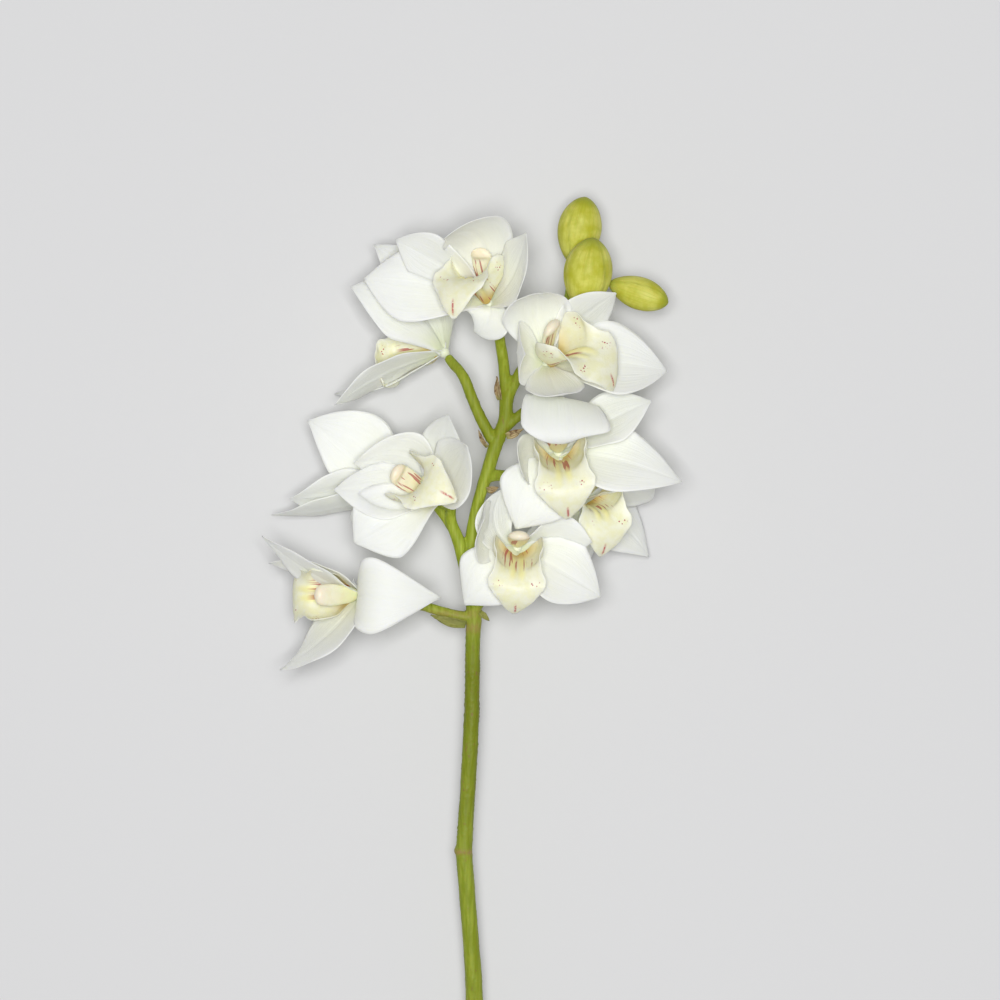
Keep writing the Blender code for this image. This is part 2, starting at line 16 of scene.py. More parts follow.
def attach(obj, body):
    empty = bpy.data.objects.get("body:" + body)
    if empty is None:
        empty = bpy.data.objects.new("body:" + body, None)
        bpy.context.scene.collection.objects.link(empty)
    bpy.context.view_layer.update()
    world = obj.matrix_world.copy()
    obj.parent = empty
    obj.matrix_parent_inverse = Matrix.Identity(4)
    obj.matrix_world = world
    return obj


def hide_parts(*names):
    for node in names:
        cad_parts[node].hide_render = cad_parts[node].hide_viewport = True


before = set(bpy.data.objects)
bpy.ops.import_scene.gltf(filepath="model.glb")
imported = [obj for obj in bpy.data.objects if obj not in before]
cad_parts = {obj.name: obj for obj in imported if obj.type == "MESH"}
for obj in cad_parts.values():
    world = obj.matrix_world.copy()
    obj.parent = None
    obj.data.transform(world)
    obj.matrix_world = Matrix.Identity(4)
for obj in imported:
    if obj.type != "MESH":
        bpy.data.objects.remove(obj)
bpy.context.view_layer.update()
print("nodes in the frame:", len(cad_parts))

# %% [markdown]
# The numbers below are in millimetres, with x across, y along the stem and z toward the viewer.
# One shift takes them to the frame, whose origin lies under the middle of the spray on the table.
# The spray is seen from about two and a half metres, so the camera stands that far above it.
# A long lens keeps the front blooms from looking swollen next to the ones behind.

# %% Camera straight above the spray
SHIFT = np.array([14.2, 129.25, 56.5])
VIEW_HEIGHT = 2.5
VIEW_WIDTH = 0.5
SENSOR = 36.0


def to_frame(points):
    return (np.asarray(points, float) + SHIFT) / 1000


camera = bpy.data.objects.new("camera", bpy.data.cameras.new("camera"))
bpy.context.collection.objects.link(camera)
camera.location = to_frame((0, 0, VIEW_HEIGHT * 1000))
camera.data.sensor_width = SENSOR
camera.data.lens = SENSOR * VIEW_HEIGHT / VIEW_WIDTH
camera.data.clip_end = 100
bpy.context.scene.camera = camera
print("camera height above the table:", round(camera.location.z, 3), "lens:", camera.data.lens)

# %% [markdown]
# A finish on a flower is a few simple layers: a colour that changes along the petal, fine veins, and a
# soft gloss. They could be wired by hand in the shader editor. Shader nodes are wordy in code, so one small
# class writes them: it adds nodes, reads painted values, does sums and lays one colour over another.

# %% Helpers that write shader nodes
def srgb(*levels):
    return tuple(((c / 255 + 0.055) / 1.055) ** 2.4 for c in levels) + (1.0,)


class Finish:
    def __init__(self, name, roughness, bump, **fixed):
        self.material = bpy.data.materials.new(name)
        self.material.use_nodes = True
        self.tree = self.material.node_tree
        self.skin = self.tree.nodes["Principled BSDF"]
        self.skin.inputs["Roughness"].default_value = roughness
        for socket, value in fixed.items():
            self.skin.inputs[socket.replace("_", " ")].default_value = value
        self.bump = self.add("Bump", {"Distance": bump, "Strength": 1.0})
        self.tree.links.new(self.bump.outputs[0], self.skin.inputs["Normal"])

    def add(self, kind, inputs=None, **settings):
        made = self.tree.nodes.new("ShaderNode" + kind)
        for name, value in settings.items():
            setattr(made, name, value)
        for key, value in (inputs or {}).items():
            if isinstance(value, bpy.types.NodeSocket):
                self.tree.links.new(value, made.inputs[key])
            else:
                made.inputs[key].default_value = value
        return made

    def paint(self, name):
        return self.add("Attribute", attribute_name=name).outputs

    def sum(self, operation, a, b=0.0, clamp=False):
        return self.add("Math", {0: a, 1: b}, operation=operation, use_clamp=clamp).outputs[0]

    def band(self, value, low, high):
        made = self.add("MapRange", {"Value": value, "From Min": low, "From Max": high},
                        interpolation_type="SMOOTHSTEP")
        return made.outputs[0]

    def over(self, share, below, above):
        made = self.add("Mix", {0: share, 6: below, 7: above}, data_type="RGBA")
        return made.outputs[2]

    def grain(self, place, scale, detail=4.0, rough=0.55):
        inputs = {"Vector": place, "Scale": scale, "Detail": detail, "Roughness": rough}
        made = self.add("TexNoise", inputs)
        return made.outputs["Fac"]

    def stretched(self, place, scale):
        return self.add("Mapping", {"Vector": place, "Scale": scale}).outputs[0]

    def done(self, colour, height, roughness=None):
        self.tree.links.new(colour, self.skin.inputs["Base Color"])
        self.tree.links.new(height, self.bump.inputs["Height"])
        if roughness is not None:
            self.tree.links.new(roughness, self.skin.inputs["Roughness"])
        return self.material


print("helpers ready")

# %% [markdown]
# A cymbidium tepal is thick, waxy and white, with a breath of green in the claw and fine veins that run
# lengthwise and fan out. The claw's green-cream is also painted shade for the heart of the bloom, where the
# claws lie deep. Light passes a little way into a tepal, so the shadow side glows instead of going grey.
# Every tepal carries its own coordinates as painted values: "along" from claw to tip, "across" from rim
# to rim, and "tone", a small difference from one tepal to the next. The veins are a noise stretched along
# the tepal, which fits the fan of a real one better than straight stripes would.

# %% White tepal finish
def tepal_finish():
    f = Finish("tepal_white", 0.5, 0.0003, Subsurface_Weight=0.3, Subsurface_Scale=0.004,
               Subsurface_Radius=(1.0, 0.95, 0.6), Specular_IOR_Level=0.3, Sheen_Weight=0.3)
    along = f.paint("along")["Fac"]
    across = f.paint("across")["Fac"]
    tone = f.paint("tone")["Fac"]
    spread = f.sum("MULTIPLY", across, 9.0)
    own = f.sum("MULTIPLY", tone, 7.0)
    place = f.add("CombineXYZ", {0: spread, 1: along, 2: own})
    veins = f.grain(place.outputs[0], 2.2, 3.0)
    fine = f.grain(f.stretched(place.outputs[0], (3.2, 1.5, 1)), 2.5, 2.0)
    cloud = f.grain(f.stretched(place.outputs[0], (0.12, 2.0, 1)), 1.4, 2.0)
    # claw green-cream: partly the tepal's own green, partly painted shade in the heart of the bloom
    colour = f.over(f.band(along, 0.0, 0.36), srgb(226, 233, 190), srgb(246, 248, 235))
    colour = f.over(f.band(along, 0.30, 0.85), colour, srgb(248, 250, 243))
    # rims painted whiter: painted light, the glow of light shining through the thin edge
    colour = f.over(f.band(f.sum("ABSOLUTE", across), 0.6, 1.0), colour, srgb(252, 253, 248))
    veil = f.sum("MULTIPLY", f.band(veins, 0.45, 0.75), 0.14)
    colour = f.over(veil, colour, srgb(236, 241, 214))
    cream = f.sum("MULTIPLY", f.band(cloud, 0.35, 0.8), f.sum("MULTIPLY", tone, 0.35))
    colour = f.over(cream, colour, srgb(243, 245, 226))
    height = f.sum("ADD", f.sum("MULTIPLY", veins, 0.8), f.sum("MULTIPLY", fine, 0.35))
    rough = f.add("MapRange", {"Value": fine, "To Min": 0.42, "To Max": 0.6}).outputs[0]
    return f.done(colour, height, rough)


TEPAL_WHITE = tepal_finish()
print(TEPAL_WHITE.name, "nodes:", len(TEPAL_WHITE.node_tree.nodes))

# %% [markdown]
# The lip is the showpiece: cream side lobes that stand up beside the column, two yellow keels, and a front
# lobe that turns down to a point. Crimson lines run out of the throat, spots gather along the shoulders
# and one short stroke marks the point. Where each mark may lie is painted on the mesh as a soft mask, and
# the marks themselves are nodes, so they stay crisp: cells of a Voronoi pattern make the spots, and a
# noise stretched lengthwise makes the lines.

# %% Cream lip finish
CRIMSON = srgb(176, 58, 72)


def lip_finish():
    f = Finish("lip_cream", 0.45, 0.00035, Subsurface_Weight=0.25, Subsurface_Scale=0.003,
               Subsurface_Radius=(1.0, 0.85, 0.4), Specular_IOR_Level=0.35)
    along = f.paint("along")["Fac"]
    rim = f.paint("rim")["Fac"]
    place = f.paint("place")["Vector"]
    mottle = f.grain(place, 0.22, 3.0)
    wax = f.grain(place, 1.1, 3.0)
    colour = f.over(f.band(mottle, 0.35, 0.7), srgb(244, 243, 217), srgb(240, 238, 198))
    colour = f.over(f.band(rim, 0.75, 1.0), colour, srgb(247, 247, 226))
    colour = f.over(f.paint("keel")["Fac"], colour, srgb(246, 238, 160))
    # throat painted ochre: partly the lip's own colour, partly painted shade under the column
    colour = f.over(f.band(along, 0.26, 0.03), colour, srgb(206, 176, 96))
    lines = f.grain(f.stretched(place, (1.0, 0.07, 1.0)), 0.62, 1.0)
    lines = f.sum("MULTIPLY", f.band(lines, 0.56, 0.60), f.paint("throat")["Fac"])
    colour = f.over(f.sum("MULTIPLY", lines, 0.8), colour, CRIMSON)
    cells = f.add("TexVoronoi", {"Vector": place, "Scale": 0.62, "Randomness": 0.85})
    dots = f.band(cells.outputs["Distance"], 0.31, 0.22)
    dots = f.sum("MULTIPLY", dots, f.paint("freckle")["Fac"])
    colour = f.over(dots, colour, CRIMSON)
    stroke = f.sum("MULTIPLY", f.paint("stroke")["Fac"], f.band(wax, 0.3, 0.5))
    colour = f.over(stroke, colour, srgb(190, 66, 78))
    return f.done(colour, f.sum("ADD", f.sum("MULTIPLY", mottle, 0.6), f.sum("MULTIPLY", wax, 0.3)))


LIP_CREAM = lip_finish()
print(LIP_CREAM.name, "nodes:", len(LIP_CREAM.node_tree.nodes))

# %% [markdown]
# The column is the small arched rod over the lip. It is cream, flushed pink under the rounded cap at its
# end, with thin crimson lines on the hollow side. Its finish reads how far along the rod a point is.

# %% Column finish
def column_finish():
    f = Finish("column_cream", 0.4, 0.0002, Subsurface_Weight=0.25, Subsurface_Scale=0.003,
               Subsurface_Radius=(1.0, 0.7, 0.45), Specular_IOR_Level=0.4)
    along = f.paint("along")["Fac"]
    place = f.paint("place")["Vector"]
    soft = f.grain(place, 0.3, 3.0)
    colour = f.over(f.band(along, 0.1, 0.75), srgb(236, 236, 190), srgb(246, 242, 218))
    colour = f.over(f.sum("MULTIPLY", f.band(along, 0.72, 0.92), 0.55), colour, srgb(242, 226, 204))
    colour = f.over(f.sum("MULTIPLY", f.band(soft, 0.45, 0.7), 0.3), colour, srgb(234, 224, 176))
    lines = f.grain(f.stretched(place, (1.0, 0.08, 1.0)), 0.7, 1.0)
    lines = f.sum("MULTIPLY", f.band(lines, 0.57, 0.61), f.paint("hollow")["Fac"])
    colour = f.over(f.sum("MULTIPLY", lines, 0.75), colour, CRIMSON)
    return f.done(colour, soft)


COLUMN_CREAM = column_finish()
print(COLUMN_CREAM.name)

# %% [markdown]
# Stem and stalks are yellow-green with a fine lengthwise grain, darker olive below the lowest bloom, and
# browner where a stalk leaves and at the old leaf ring. A picture of a stem could be wrapped round them.
# A noise squeezed along y does it without one, because nearly all of the stem runs that way.

# %% Green stem finish
def stem_finish():
    f = Finish("stem_green", 0.5, 0.0004, Subsurface_Weight=0.1, Subsurface_Scale=0.002,
               Specular_IOR_Level=0.22)
    place = f.paint("place")["Vector"]
    streak = f.grain(f.stretched(place, (1.0, 0.045, 1.0)), 0.75, 4.0)
    patch = f.grain(f.stretched(place, (1.0, 0.3, 1.0)), 0.09, 3.0)
    colour = f.over(f.band(streak, 0.35, 0.68), srgb(140, 156, 40), srgb(170, 184, 68))
    colour = f.over(f.sum("MULTIPLY", f.band(patch, 0.42, 0.65), 0.35), colour, srgb(122, 138, 28))
    colour = f.over(f.sum("MULTIPLY", f.paint("young")["Fac"], 0.3), colour, srgb(150, 158, 44))
    colour = f.over(f.sum("MULTIPLY", f.paint("corky")["Fac"], 0.75), colour, srgb(106, 114, 8))
    cork = f.grain(f.stretched(place, (1.0, 0.45, 1.0)), 0.5, 3.0, 0.7)
    marks = f.sum("MULTIPLY", f.band(cork, 0.60, 0.68), f.paint("corky")["Fac"])
    colour = f.over(f.sum("MULTIPLY", marks, 0.8), colour, srgb(132, 104, 62))
    scar = f.sum("MULTIPLY", f.paint("scar")["Fac"], f.band(cork, 0.2, 0.6))
    colour = f.over(scar, colour, srgb(158, 130, 82))
    height = f.sum("ADD", f.sum("MULTIPLY", streak, 0.7), f.sum("MULTIPLY", cork, 0.5))
    return f.done(colour, height)


STEM_GREEN = stem_finish()
print(STEM_GREEN.name)

# %% [markdown]
# A closed bud shows three overlapping sepals. It is yellow-green, paler on the swell, and darker green at
# the foot, the tip and beside each seam. Dry bracts are thin tan paper with brown fibres, and the two
# lowest are still partly green. Both finishes use a noise drawn out lengthwise for their fibres.

# %% Bud and bract finishes
def bud_finish():
    f = Finish("bud_green", 0.5, 0.0003, Subsurface_Weight=0.15, Subsurface_Scale=0.003,
               Specular_IOR_Level=0.28)
    along = f.paint("along")["Fac"]
    place = f.paint("place")["Vector"]
    streak = f.grain(f.stretched(place, (1.0, 1.0, 1.0)), 0.12, 4.0)
    fibre = f.grain(f.paint("lengthwise")["Vector"], 1.0, 3.0)
    colour = f.over(f.band(streak, 0.3, 0.7), srgb(184, 184, 50), srgb(212, 211, 104))
    colour = f.over(f.sum("MULTIPLY", f.band(fibre, 0.45, 0.7), 0.45), colour, srgb(170, 172, 44))
    ends = f.sum("ADD", f.band(along, 0.22, 0.0), f.band(along, 0.82, 1.0))
    colour = f.over(f.sum("MULTIPLY", ends, 0.7, True), colour, srgb(146, 156, 36))
    colour = f.over(f.paint("seam")["Fac"], colour, srgb(136, 142, 34))
    return f.done(colour, f.sum("ADD", f.sum("MULTIPLY", fibre, 0.6), f.sum("MULTIPLY", streak, 0.4)))


def bract_finish():
    f = Finish("bract_brown", 0.8, 0.0005)
    place = f.paint("place")["Vector"]
    fibre = f.grain(f.paint("lengthwise")["Vector"], 1.6, 4.0)
    blotch = f.grain(place, 0.5, 3.0)
    colour = f.over(f.band(fibre, 0.35, 0.7), srgb(206, 188, 146), srgb(150, 116, 70))
    colour = f.over(f.band(blotch, 0.48, 0.7), colour, srgb(112, 74, 42))
    foot = f.sum("MULTIPLY", f.band(f.paint("along")["Fac"], 0.35, 0.0), 0.7)
    colour = f.over(foot, colour, srgb(138, 142, 62))
    colour = f.over(f.sum("MULTIPLY", f.paint("fresh")["Fac"], 0.75), colour, srgb(136, 146, 58))
    return f.done(colour, fibre)


BUD_GREEN = bud_finish()
BRACT_BROWN = bract_finish()
print(BUD_GREEN.name, BRACT_BROWN.name)

# %% [markdown]
# Everything soft here is one of two things: a blade, such as a tepal, or a rod, such as a stalk. A blade is
# a grid of points with a thickness that runs out at the rim, closed front and back. A rod is a stack of
# rings, closed at both ends. Both take painted values, which the finishes read.

# %% Blades and rods as closed skins
def unit(v):
    v = np.array(v, float)
    return v / np.linalg.norm(v)


def tangents(line):
    t = np.gradient(line, axis=0)
    return t / np.linalg.norm(t, axis=1)[:, None]


def bezier(points, t):
    pts = [np.array(p, float) for p in points]
    while len(pts) > 1:
        pts = [a + (b - a) * t for a, b in zip(pts, pts[1:])]
    return pts[0]


def blade(grid, thick, paints):
    """Front, back and rim of a grid, as (points, faces, paints on points)."""
    rows, cols = grid.shape[:2]
    normal = np.cross(np.gradient(grid, axis=0), np.gradient(grid, axis=1))
    normal /= np.maximum(np.linalg.norm(normal, axis=2), 1e-9)[:, :, None]
    half = np.broadcast_to(thick, (rows, cols))[:, :, None] / 2
    points = np.vstack([(grid + normal * half).reshape(-1, 3), (grid - normal * half).reshape(-1, 3)])
    total = rows * cols
    index = np.arange(total).reshape(rows, cols)
    a, b, c, d = index[:-1, :-1], index[:-1, 1:], index[1:, 1:], index[1:, :-1]
    front = np.stack([d, c, b, a], axis=-1).reshape(-1, 4)
    back = np.stack([a, b, c, d], axis=-1).reshape(-1, 4) + total
    rim = np.concatenate([index[0], index[1:, -1], index[-1, -2::-1], index[-2:0:-1, 0]])
    after = np.roll(rim, -1)
    edge = np.stack([rim, after, after + total, rim + total], axis=-1)
    faces = np.vstack([front, back, edge])
    return points, faces, {k: np.tile(v.reshape(rows * cols, -1), (2, 1)) for k, v in paints.items()}


def rod(rings, paints):
    """A closed rod from its rings, as (points, faces, paints on points)."""
    rings = np.array(rings)
    count, sides = rings.shape[:2]
    ends = [rings[0].mean(0), rings[-1].mean(0)]
    points = np.vstack([rings.reshape(-1, 3), ends])
    faces = []
    for i in range(count - 1):
        for j in range(sides):
            k = (j + 1) % sides
            faces.append((i * sides + j, i * sides + k, (i + 1) * sides + k, (i + 1) * sides + j))
    low, high, last = count * sides, count * sides + 1, (count - 1) * sides
    for j in range(sides):
        k = (j + 1) % sides
        faces.append((low, k, j, j))
        faces.append((high, last + j, last + k, last + k))
    closed = {}
    for name, value in paints.items():
        value = value.reshape(count * sides, -1)
        closed[name] = np.vstack([value, value[:sides].mean(0), value[-sides:].mean(0)])
    return points, np.array(faces), closed


def dress(name, skins, finish, node):
    """Joins skins into one piece that stands for a node of the frame."""
    verts, faces, count = [], [], 0
    for points, skin_faces, paints in skins:
        verts.append(to_frame(points))
        faces += [tuple(dict.fromkeys(f)) for f in (skin_faces + count).tolist()]
        count += len(points)
    mesh = bpy.data.meshes.new(name)
    mesh.from_pydata(np.vstack(verts).tolist(), [], faces)
    mesh.update()
    for paint_name in skins[0][2]:
        values = np.vstack([s[2][paint_name] for s in skins])
        vector = values.shape[1] == 3
        layer = mesh.attributes.new(paint_name, "FLOAT_VECTOR" if vector else "FLOAT", "POINT")
        layer.data.foreach_set("vector" if vector else "value", values.astype(np.float32).ravel())
    tidy = bmesh.new()
    tidy.from_mesh(mesh)
    bmesh.ops.recalc_face_normals(tidy, faces=tidy.faces)
    tidy.to_mesh(mesh)
    tidy.free()
    mesh.shade_smooth()
    mesh.materials.append(finish)
    piece = bpy.data.objects.new(name, mesh)
    bpy.context.collection.objects.link(piece)
    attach(piece, "root")
    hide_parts(node)
    return piece


print("blades and rods ready")

# %% [markdown]
# Each bloom is told by its seat on the stalk, the way it faces, the way its lip hangs and five tepals. A
# tepal needs only its tip, the side it looks to, how it bows or the handles it bends round, its width, its
# cup from claw to tip, and where it is widest. Tilting ready-made flowers would be quicker, but no two
# blooms on a real spray are folded alike, and the outlines of these were set one by one.

# %% The nine blooms in numbers
BLOOMS = {
    "A": dict(seat=(-5.2, 97.5, 14), facing=(-0.3, 0.7, 0.65), lip=(-0.36, -0.7, 0.6),
              scale=0.95, tepals=[
        dict(tip=(-62.5, 12.4, -1.5), looks=(0.02, 0.35, 0.94), bow=4.2, sway=0.9, width=40.4,
             twist=-9, cup=(0.34, -0.2), widest=0.66),
        dict(tip=(-46.4, 31.4, 7.1), looks=(-0.02, -0.76, 0.65), bow=0.3, sway=4.2, width=30.6,
             twist=4, cup=(0.43, 0.07), widest=0.72),
        dict(tip=(-22.7, 30, 36), looks=(0.1, -0.5, 0.8), handles=[(2.3, 18, -4), (-0.7, 37, 5),
             (-10.7, 40, 31)], width=35, cup=(0.2, 0), widest=0.66),
        dict(tip=(18, 33.5, 33.3), looks=(-0.74, 0.25, 0.62), bow=-2.2, sway=3.6, width=33,
             twist=8, cup=(0.2, 0.08), widest=0.57),
        dict(tip=(-7.7, -13.5, -3), looks=(-0.2, -0.3, 1), handles=[(1.3, -2, 6), (-0.7, -13, 4)],
             width=24)]),
    "B": dict(seat=(-28, 74, -10), facing=(-0.72, 0.1, -0.65), lip=(-0.62, -0.6, 0.5),
              scale=0.86, tepals=[
        dict(tip=(-46.4, 32.3, 14.1), looks=(-0.33, -0.59, -0.74), bow=-6.1, sway=-2.9,
             width=36.9, twist=-2, cup=(0.43, 0.06), widest=0.61),
        dict(tip=(-35.4, 54.3, -6), looks=(-0.35, -0.54, -0.76), bow=-7.1, sway=-6.5, width=37.7,
             twist=-5, cup=(0.29, 0), widest=0.56),
        dict(tip=(-54.5, -26.5, 10.1), looks=(-0.3, 0.86, -0.4), bow=3.8, sway=0.2, width=31,
             cup=(0.1, 0), widest=0.6),
        dict(tip=(-56, -20, -38), looks=(-0.3, 0.86, 0.4), bow=-3, sway=0, width=30),
        dict(tip=(-14, 40, -46), looks=(-0.7, 0, 0.6), bow=-4, sway=0)]),
    "C": dict(seat=(23.3, 67.3, 16), facing=(0.36, 0.43, 0.82), lip=(0.75, -0.66, 0.02),
              scale=1.00, tepals=[
        dict(tip=(59.8, -3.1, -3.3), looks=(-0.02, 0.55, 0.84), bow=4.1, sway=0.3, width=43.1,
             twist=1, cup=(0.57, 0.07), widest=0.59),
        dict(tip=(34, 35, 12.1), looks=(0.43, -0.67, 0.6), bow=-5.4, sway=0.5, width=31.2,
             twist=-8, cup=(0.31, -0.22), widest=0.65),
        dict(tip=(-3, 34, 34), looks=(0.2, -0.7, 0.7), handles=[(-6, 20, 2), (-8, 37, 16)],
             width=35, cup=(0.25, 0.1)),
        dict(tip=(-11, 4, 38), looks=(0.9, 0, 0.4), handles=[(-12, 6, 4), (-19, 6, 22)], width=32,
             cup=(0.2, 0)),
        dict(tip=(9, -15, 45), looks=(0, 0.7, 0.7), handles=[(0, -8, 18), (6, -19, 42)], width=29,
             cup=(0.2, 0))]),
    "D": dict(seat=(29, 22.7, 16), facing=(0.04, -0.01, 1), lip=(0.12, -0.99, -0.02),
              scale=0.95, tepals=[
        dict(tip=(4, 5, 33), looks=(0, -0.3, 1), handles=[(0, 20, -6), (1, 41, 0), (3, 31, 27),
             (4, 9, 43)], width=45, cup=(0.1, 0.03), widest=0.8),
        dict(tip=(45.7, 26.3, 9.1), looks=(-0.6, 0.43, 0.68), bow=0.8, sway=-1.7, width=33.6,
             twist=1, cup=(0.34, -0.08), widest=0.62),
        dict(tip=(61, -13.8, 10.9), looks=(-0.03, 0.52, 0.85), bow=6.3, sway=0.3, width=37.5,
             twist=-9, cup=(0.33, -0.06), widest=0.48),
        dict(tip=(-21, -37, 12), looks=(0.1, 0.3, 1), bow=9, sway=0, width=38, cup=(0.1, -0.25),
             widest=0.62),
        dict(tip=(-17, -12, 30), looks=(0.9, 0.1, 0.4), handles=[(-16, 2, 2), (-21, -5, 18)],
             width=26, cup=(0.2, 0))]),
    "E": dict(seat=(41, 0, -21), facing=(0.35, 0.1, 0.93), lip=(0.1, -0.98, 0.1),
              scale=0.90, tepals=[
        dict(tip=(36.7, 6, 11.1), looks=(0.37, -0.9, 0.25), bow=-0.2, sway=2.6, width=36.5,
             twist=-12, cup=(0.04, 0.19), widest=0.61),
        dict(tip=(34.6, -28.9, -20.7), looks=(0.37, 0.38, 0.85), bow=0.3, sway=-4.4, width=36.2,
             twist=-12, cup=(0.25, -0.13), widest=0.48),
        dict(tip=(20, -18, -35.4), looks=(0.2, -0.2, 1), bow=3, sway=0),
        dict(tip=(-22, -38, -22), looks=(0.3, 0, 0.9), bow=3, sway=0),
        dict(tip=(-14, 36, -2), looks=(0.1, -0.6, 0.6), bow=3, sway=0, width=30)]),
    "F": dict(seat=(8.4, -24, 14), facing=(0.02, -0.1, 0.99), lip=(-0.05, -0.99, -0.1),
              scale=0.90, tepals=[
        dict(tip=(-7.9, 29, 9.3), looks=(0.77, -0.26, 0.59), bow=-3.5, sway=-7.4, width=27,
             twist=5, cup=(0.17, 0.03), widest=0.58),
        dict(tip=(37.1, 3.2, 4.5), looks=(0.12, -0.75, 0.65), bow=-4.5, sway=0, width=30.1,
             twist=-9, cup=(0.27, -0.31), widest=0.64),
        dict(tip=(41.6, -24, 3.7), looks=(0.13, 0.46, 0.88), bow=4.6, sway=1.2, width=38.8,
             twist=-1, cup=(0.3, -0.05), widest=0.54),
        dict(tip=(-26, -28, 8), looks=(0.1, 0.3, 1), bow=9, sway=0, width=34, cup=(0.1, -0.25),
             widest=0.6),
        dict(tip=(-16, 15, 36), looks=(0.9, -0.1, 0.4), handles=[(-16, 6, 2), (-22, 10, 20)],
             width=32, cup=(0.2, 0))]),
    "G": dict(seat=(-31, 0.4, 14), facing=(-0.56, 0.41, 0.72), lip=(0.66, -0.28, 0.69),
              scale=0.93, tepals=[
        dict(tip=(5.3, 41.6, 14.1), looks=(-0.71, -0.25, 0.66), bow=-2.4, sway=-2.3, width=33.8,
             twist=-1, cup=(0.23, -0.06), widest=0.55),
        dict(tip=(14.8, 26.1, 34.1), looks=(-0.86, -0.02, 0.5), bow=-1.9, sway=0.1, width=38.7,
             twist=10, cup=(0.53, -0.17), widest=0.52),
        dict(tip=(-41.6, 18, 0), looks=(0.62, -0.65, 0.44), bow=-11.9, sway=1.9, width=41.3,
             twist=-6, cup=(0.24, 0.04), widest=0.48),
        dict(tip=(-51.4, 4.6, 4.1), looks=(0.04, 0.44, 0.9), bow=0.3, sway=1.4, width=32.1,
             twist=1, cup=(0.25, -0.07), widest=0.55),
        dict(tip=(-41.4, -21.7, 5.8), looks=(0.14, 0.34, 0.93), bow=4.9, sway=1.4, width=39.1,
             twist=-7, cup=(0.36, -0.19), widest=0.68)]),
    "H": dict(seat=(-52, 6, -18), facing=(-0.6, 0, -0.8), lip=(0.8, 0, -0.6),
              scale=0.85, tepals=[
        dict(tip=(-44.4, 33.7, 6.8), looks=(-0.06, 0.1, -0.99), bow=-3, sway=-4, width=38.8,
             twist=1, cup=(0.27, -0.08), widest=0.52),
        dict(tip=(-53.4, -5.5, 8), looks=(-0.17, 0.86, -0.49), bow=1.4, sway=1.9, width=35,
             twist=3, cup=(0.42, -0.05), widest=0.58),
        dict(tip=(-63.6, -13.6, -16.6), looks=(-0.02, 0.98, -0.2), bow=-3.1, sway=-0.5, width=34,
             twist=-2, cup=(0.23, 0), widest=0.54),
        dict(tip=(-14, 36, -36), looks=(-0.4, -0.4, -0.8), bow=3, sway=0),
        dict(tip=(-10, -28, -35), looks=(-0.4, 0.4, -0.8), bow=3, sway=0)]),
    "I": dict(seat=(-68.8, -47.2, 6), facing=(-0.94, 0.01, 0.35), lip=(-0.35, 0.02, -0.94),
              scale=0.92, tepals=[
        dict(tip=(39.4, -1, 20), looks=(0.2, 0, 1), handles=[(-6, 0, 22), (2, 0, 34)], width=38,
             cup=(0.1, -0.1)),
        dict(tip=(-49.6, 29.3, 6.8), looks=(-0.12, -0.94, 0.32), bow=4.5, sway=3, width=28,
             cup=(0.2, 0.04), widest=0.5),
        dict(tip=(-46.7, 15.6, -10), looks=(-0.1, -0.92, 0.38), width=27, cup=(0.15, 0),
             handles=[(-10, 10, -1), (-28, 14, -5)]),
        dict(tip=(-40.7, -37.4, 5.8), looks=(-0.47, 0.75, 0.47), bow=-0.6, sway=-5.6, width=37,
             twist=16, cup=(0.29, -0.18), widest=0.49),
        dict(tip=(-9.2, -22.8, -46), looks=(-0.7, 0.5, 0.5), bow=4, sway=0)]),
}
print("blooms:", len(BLOOMS), "tepals:", sum(len(b["tepals"]) for b in BLOOMS.values()))

# %% [markdown]
# A tepal starts as a narrow claw, swells to its widest part and ends in a blunt point. Its midrib is a
# curve through the handles, the cross-section is cupped, and the rim is waved. A shallow groove follows
# the midrib on the front, as in any cymbidium tepal.

# %% Tepal surface
CLAW = 0.16
TEPAL_ROWS = 40
TEPAL_COLS = 24
TEPAL_THICK = 0.75
TEPAL_WAVE = 0.9
TEPAL_RUFFLE = 0.5
GROOVE_DEPTH = 0.55
GROOVE_WIDTH = 0.07
PLAIN_WIDTH = 37.0
PLAIN_CUP = (0.30, -0.06)
PLAIN_WIDEST = 0.54


def tepal_profile(u, widest):
    if u < widest:
        return CLAW + (1 - CLAW) * math.sin(math.pi / 2 * u / widest) ** 1.4
    return max(1 - ((u - widest) / (1 - widest)) ** 1.75, 0.035)


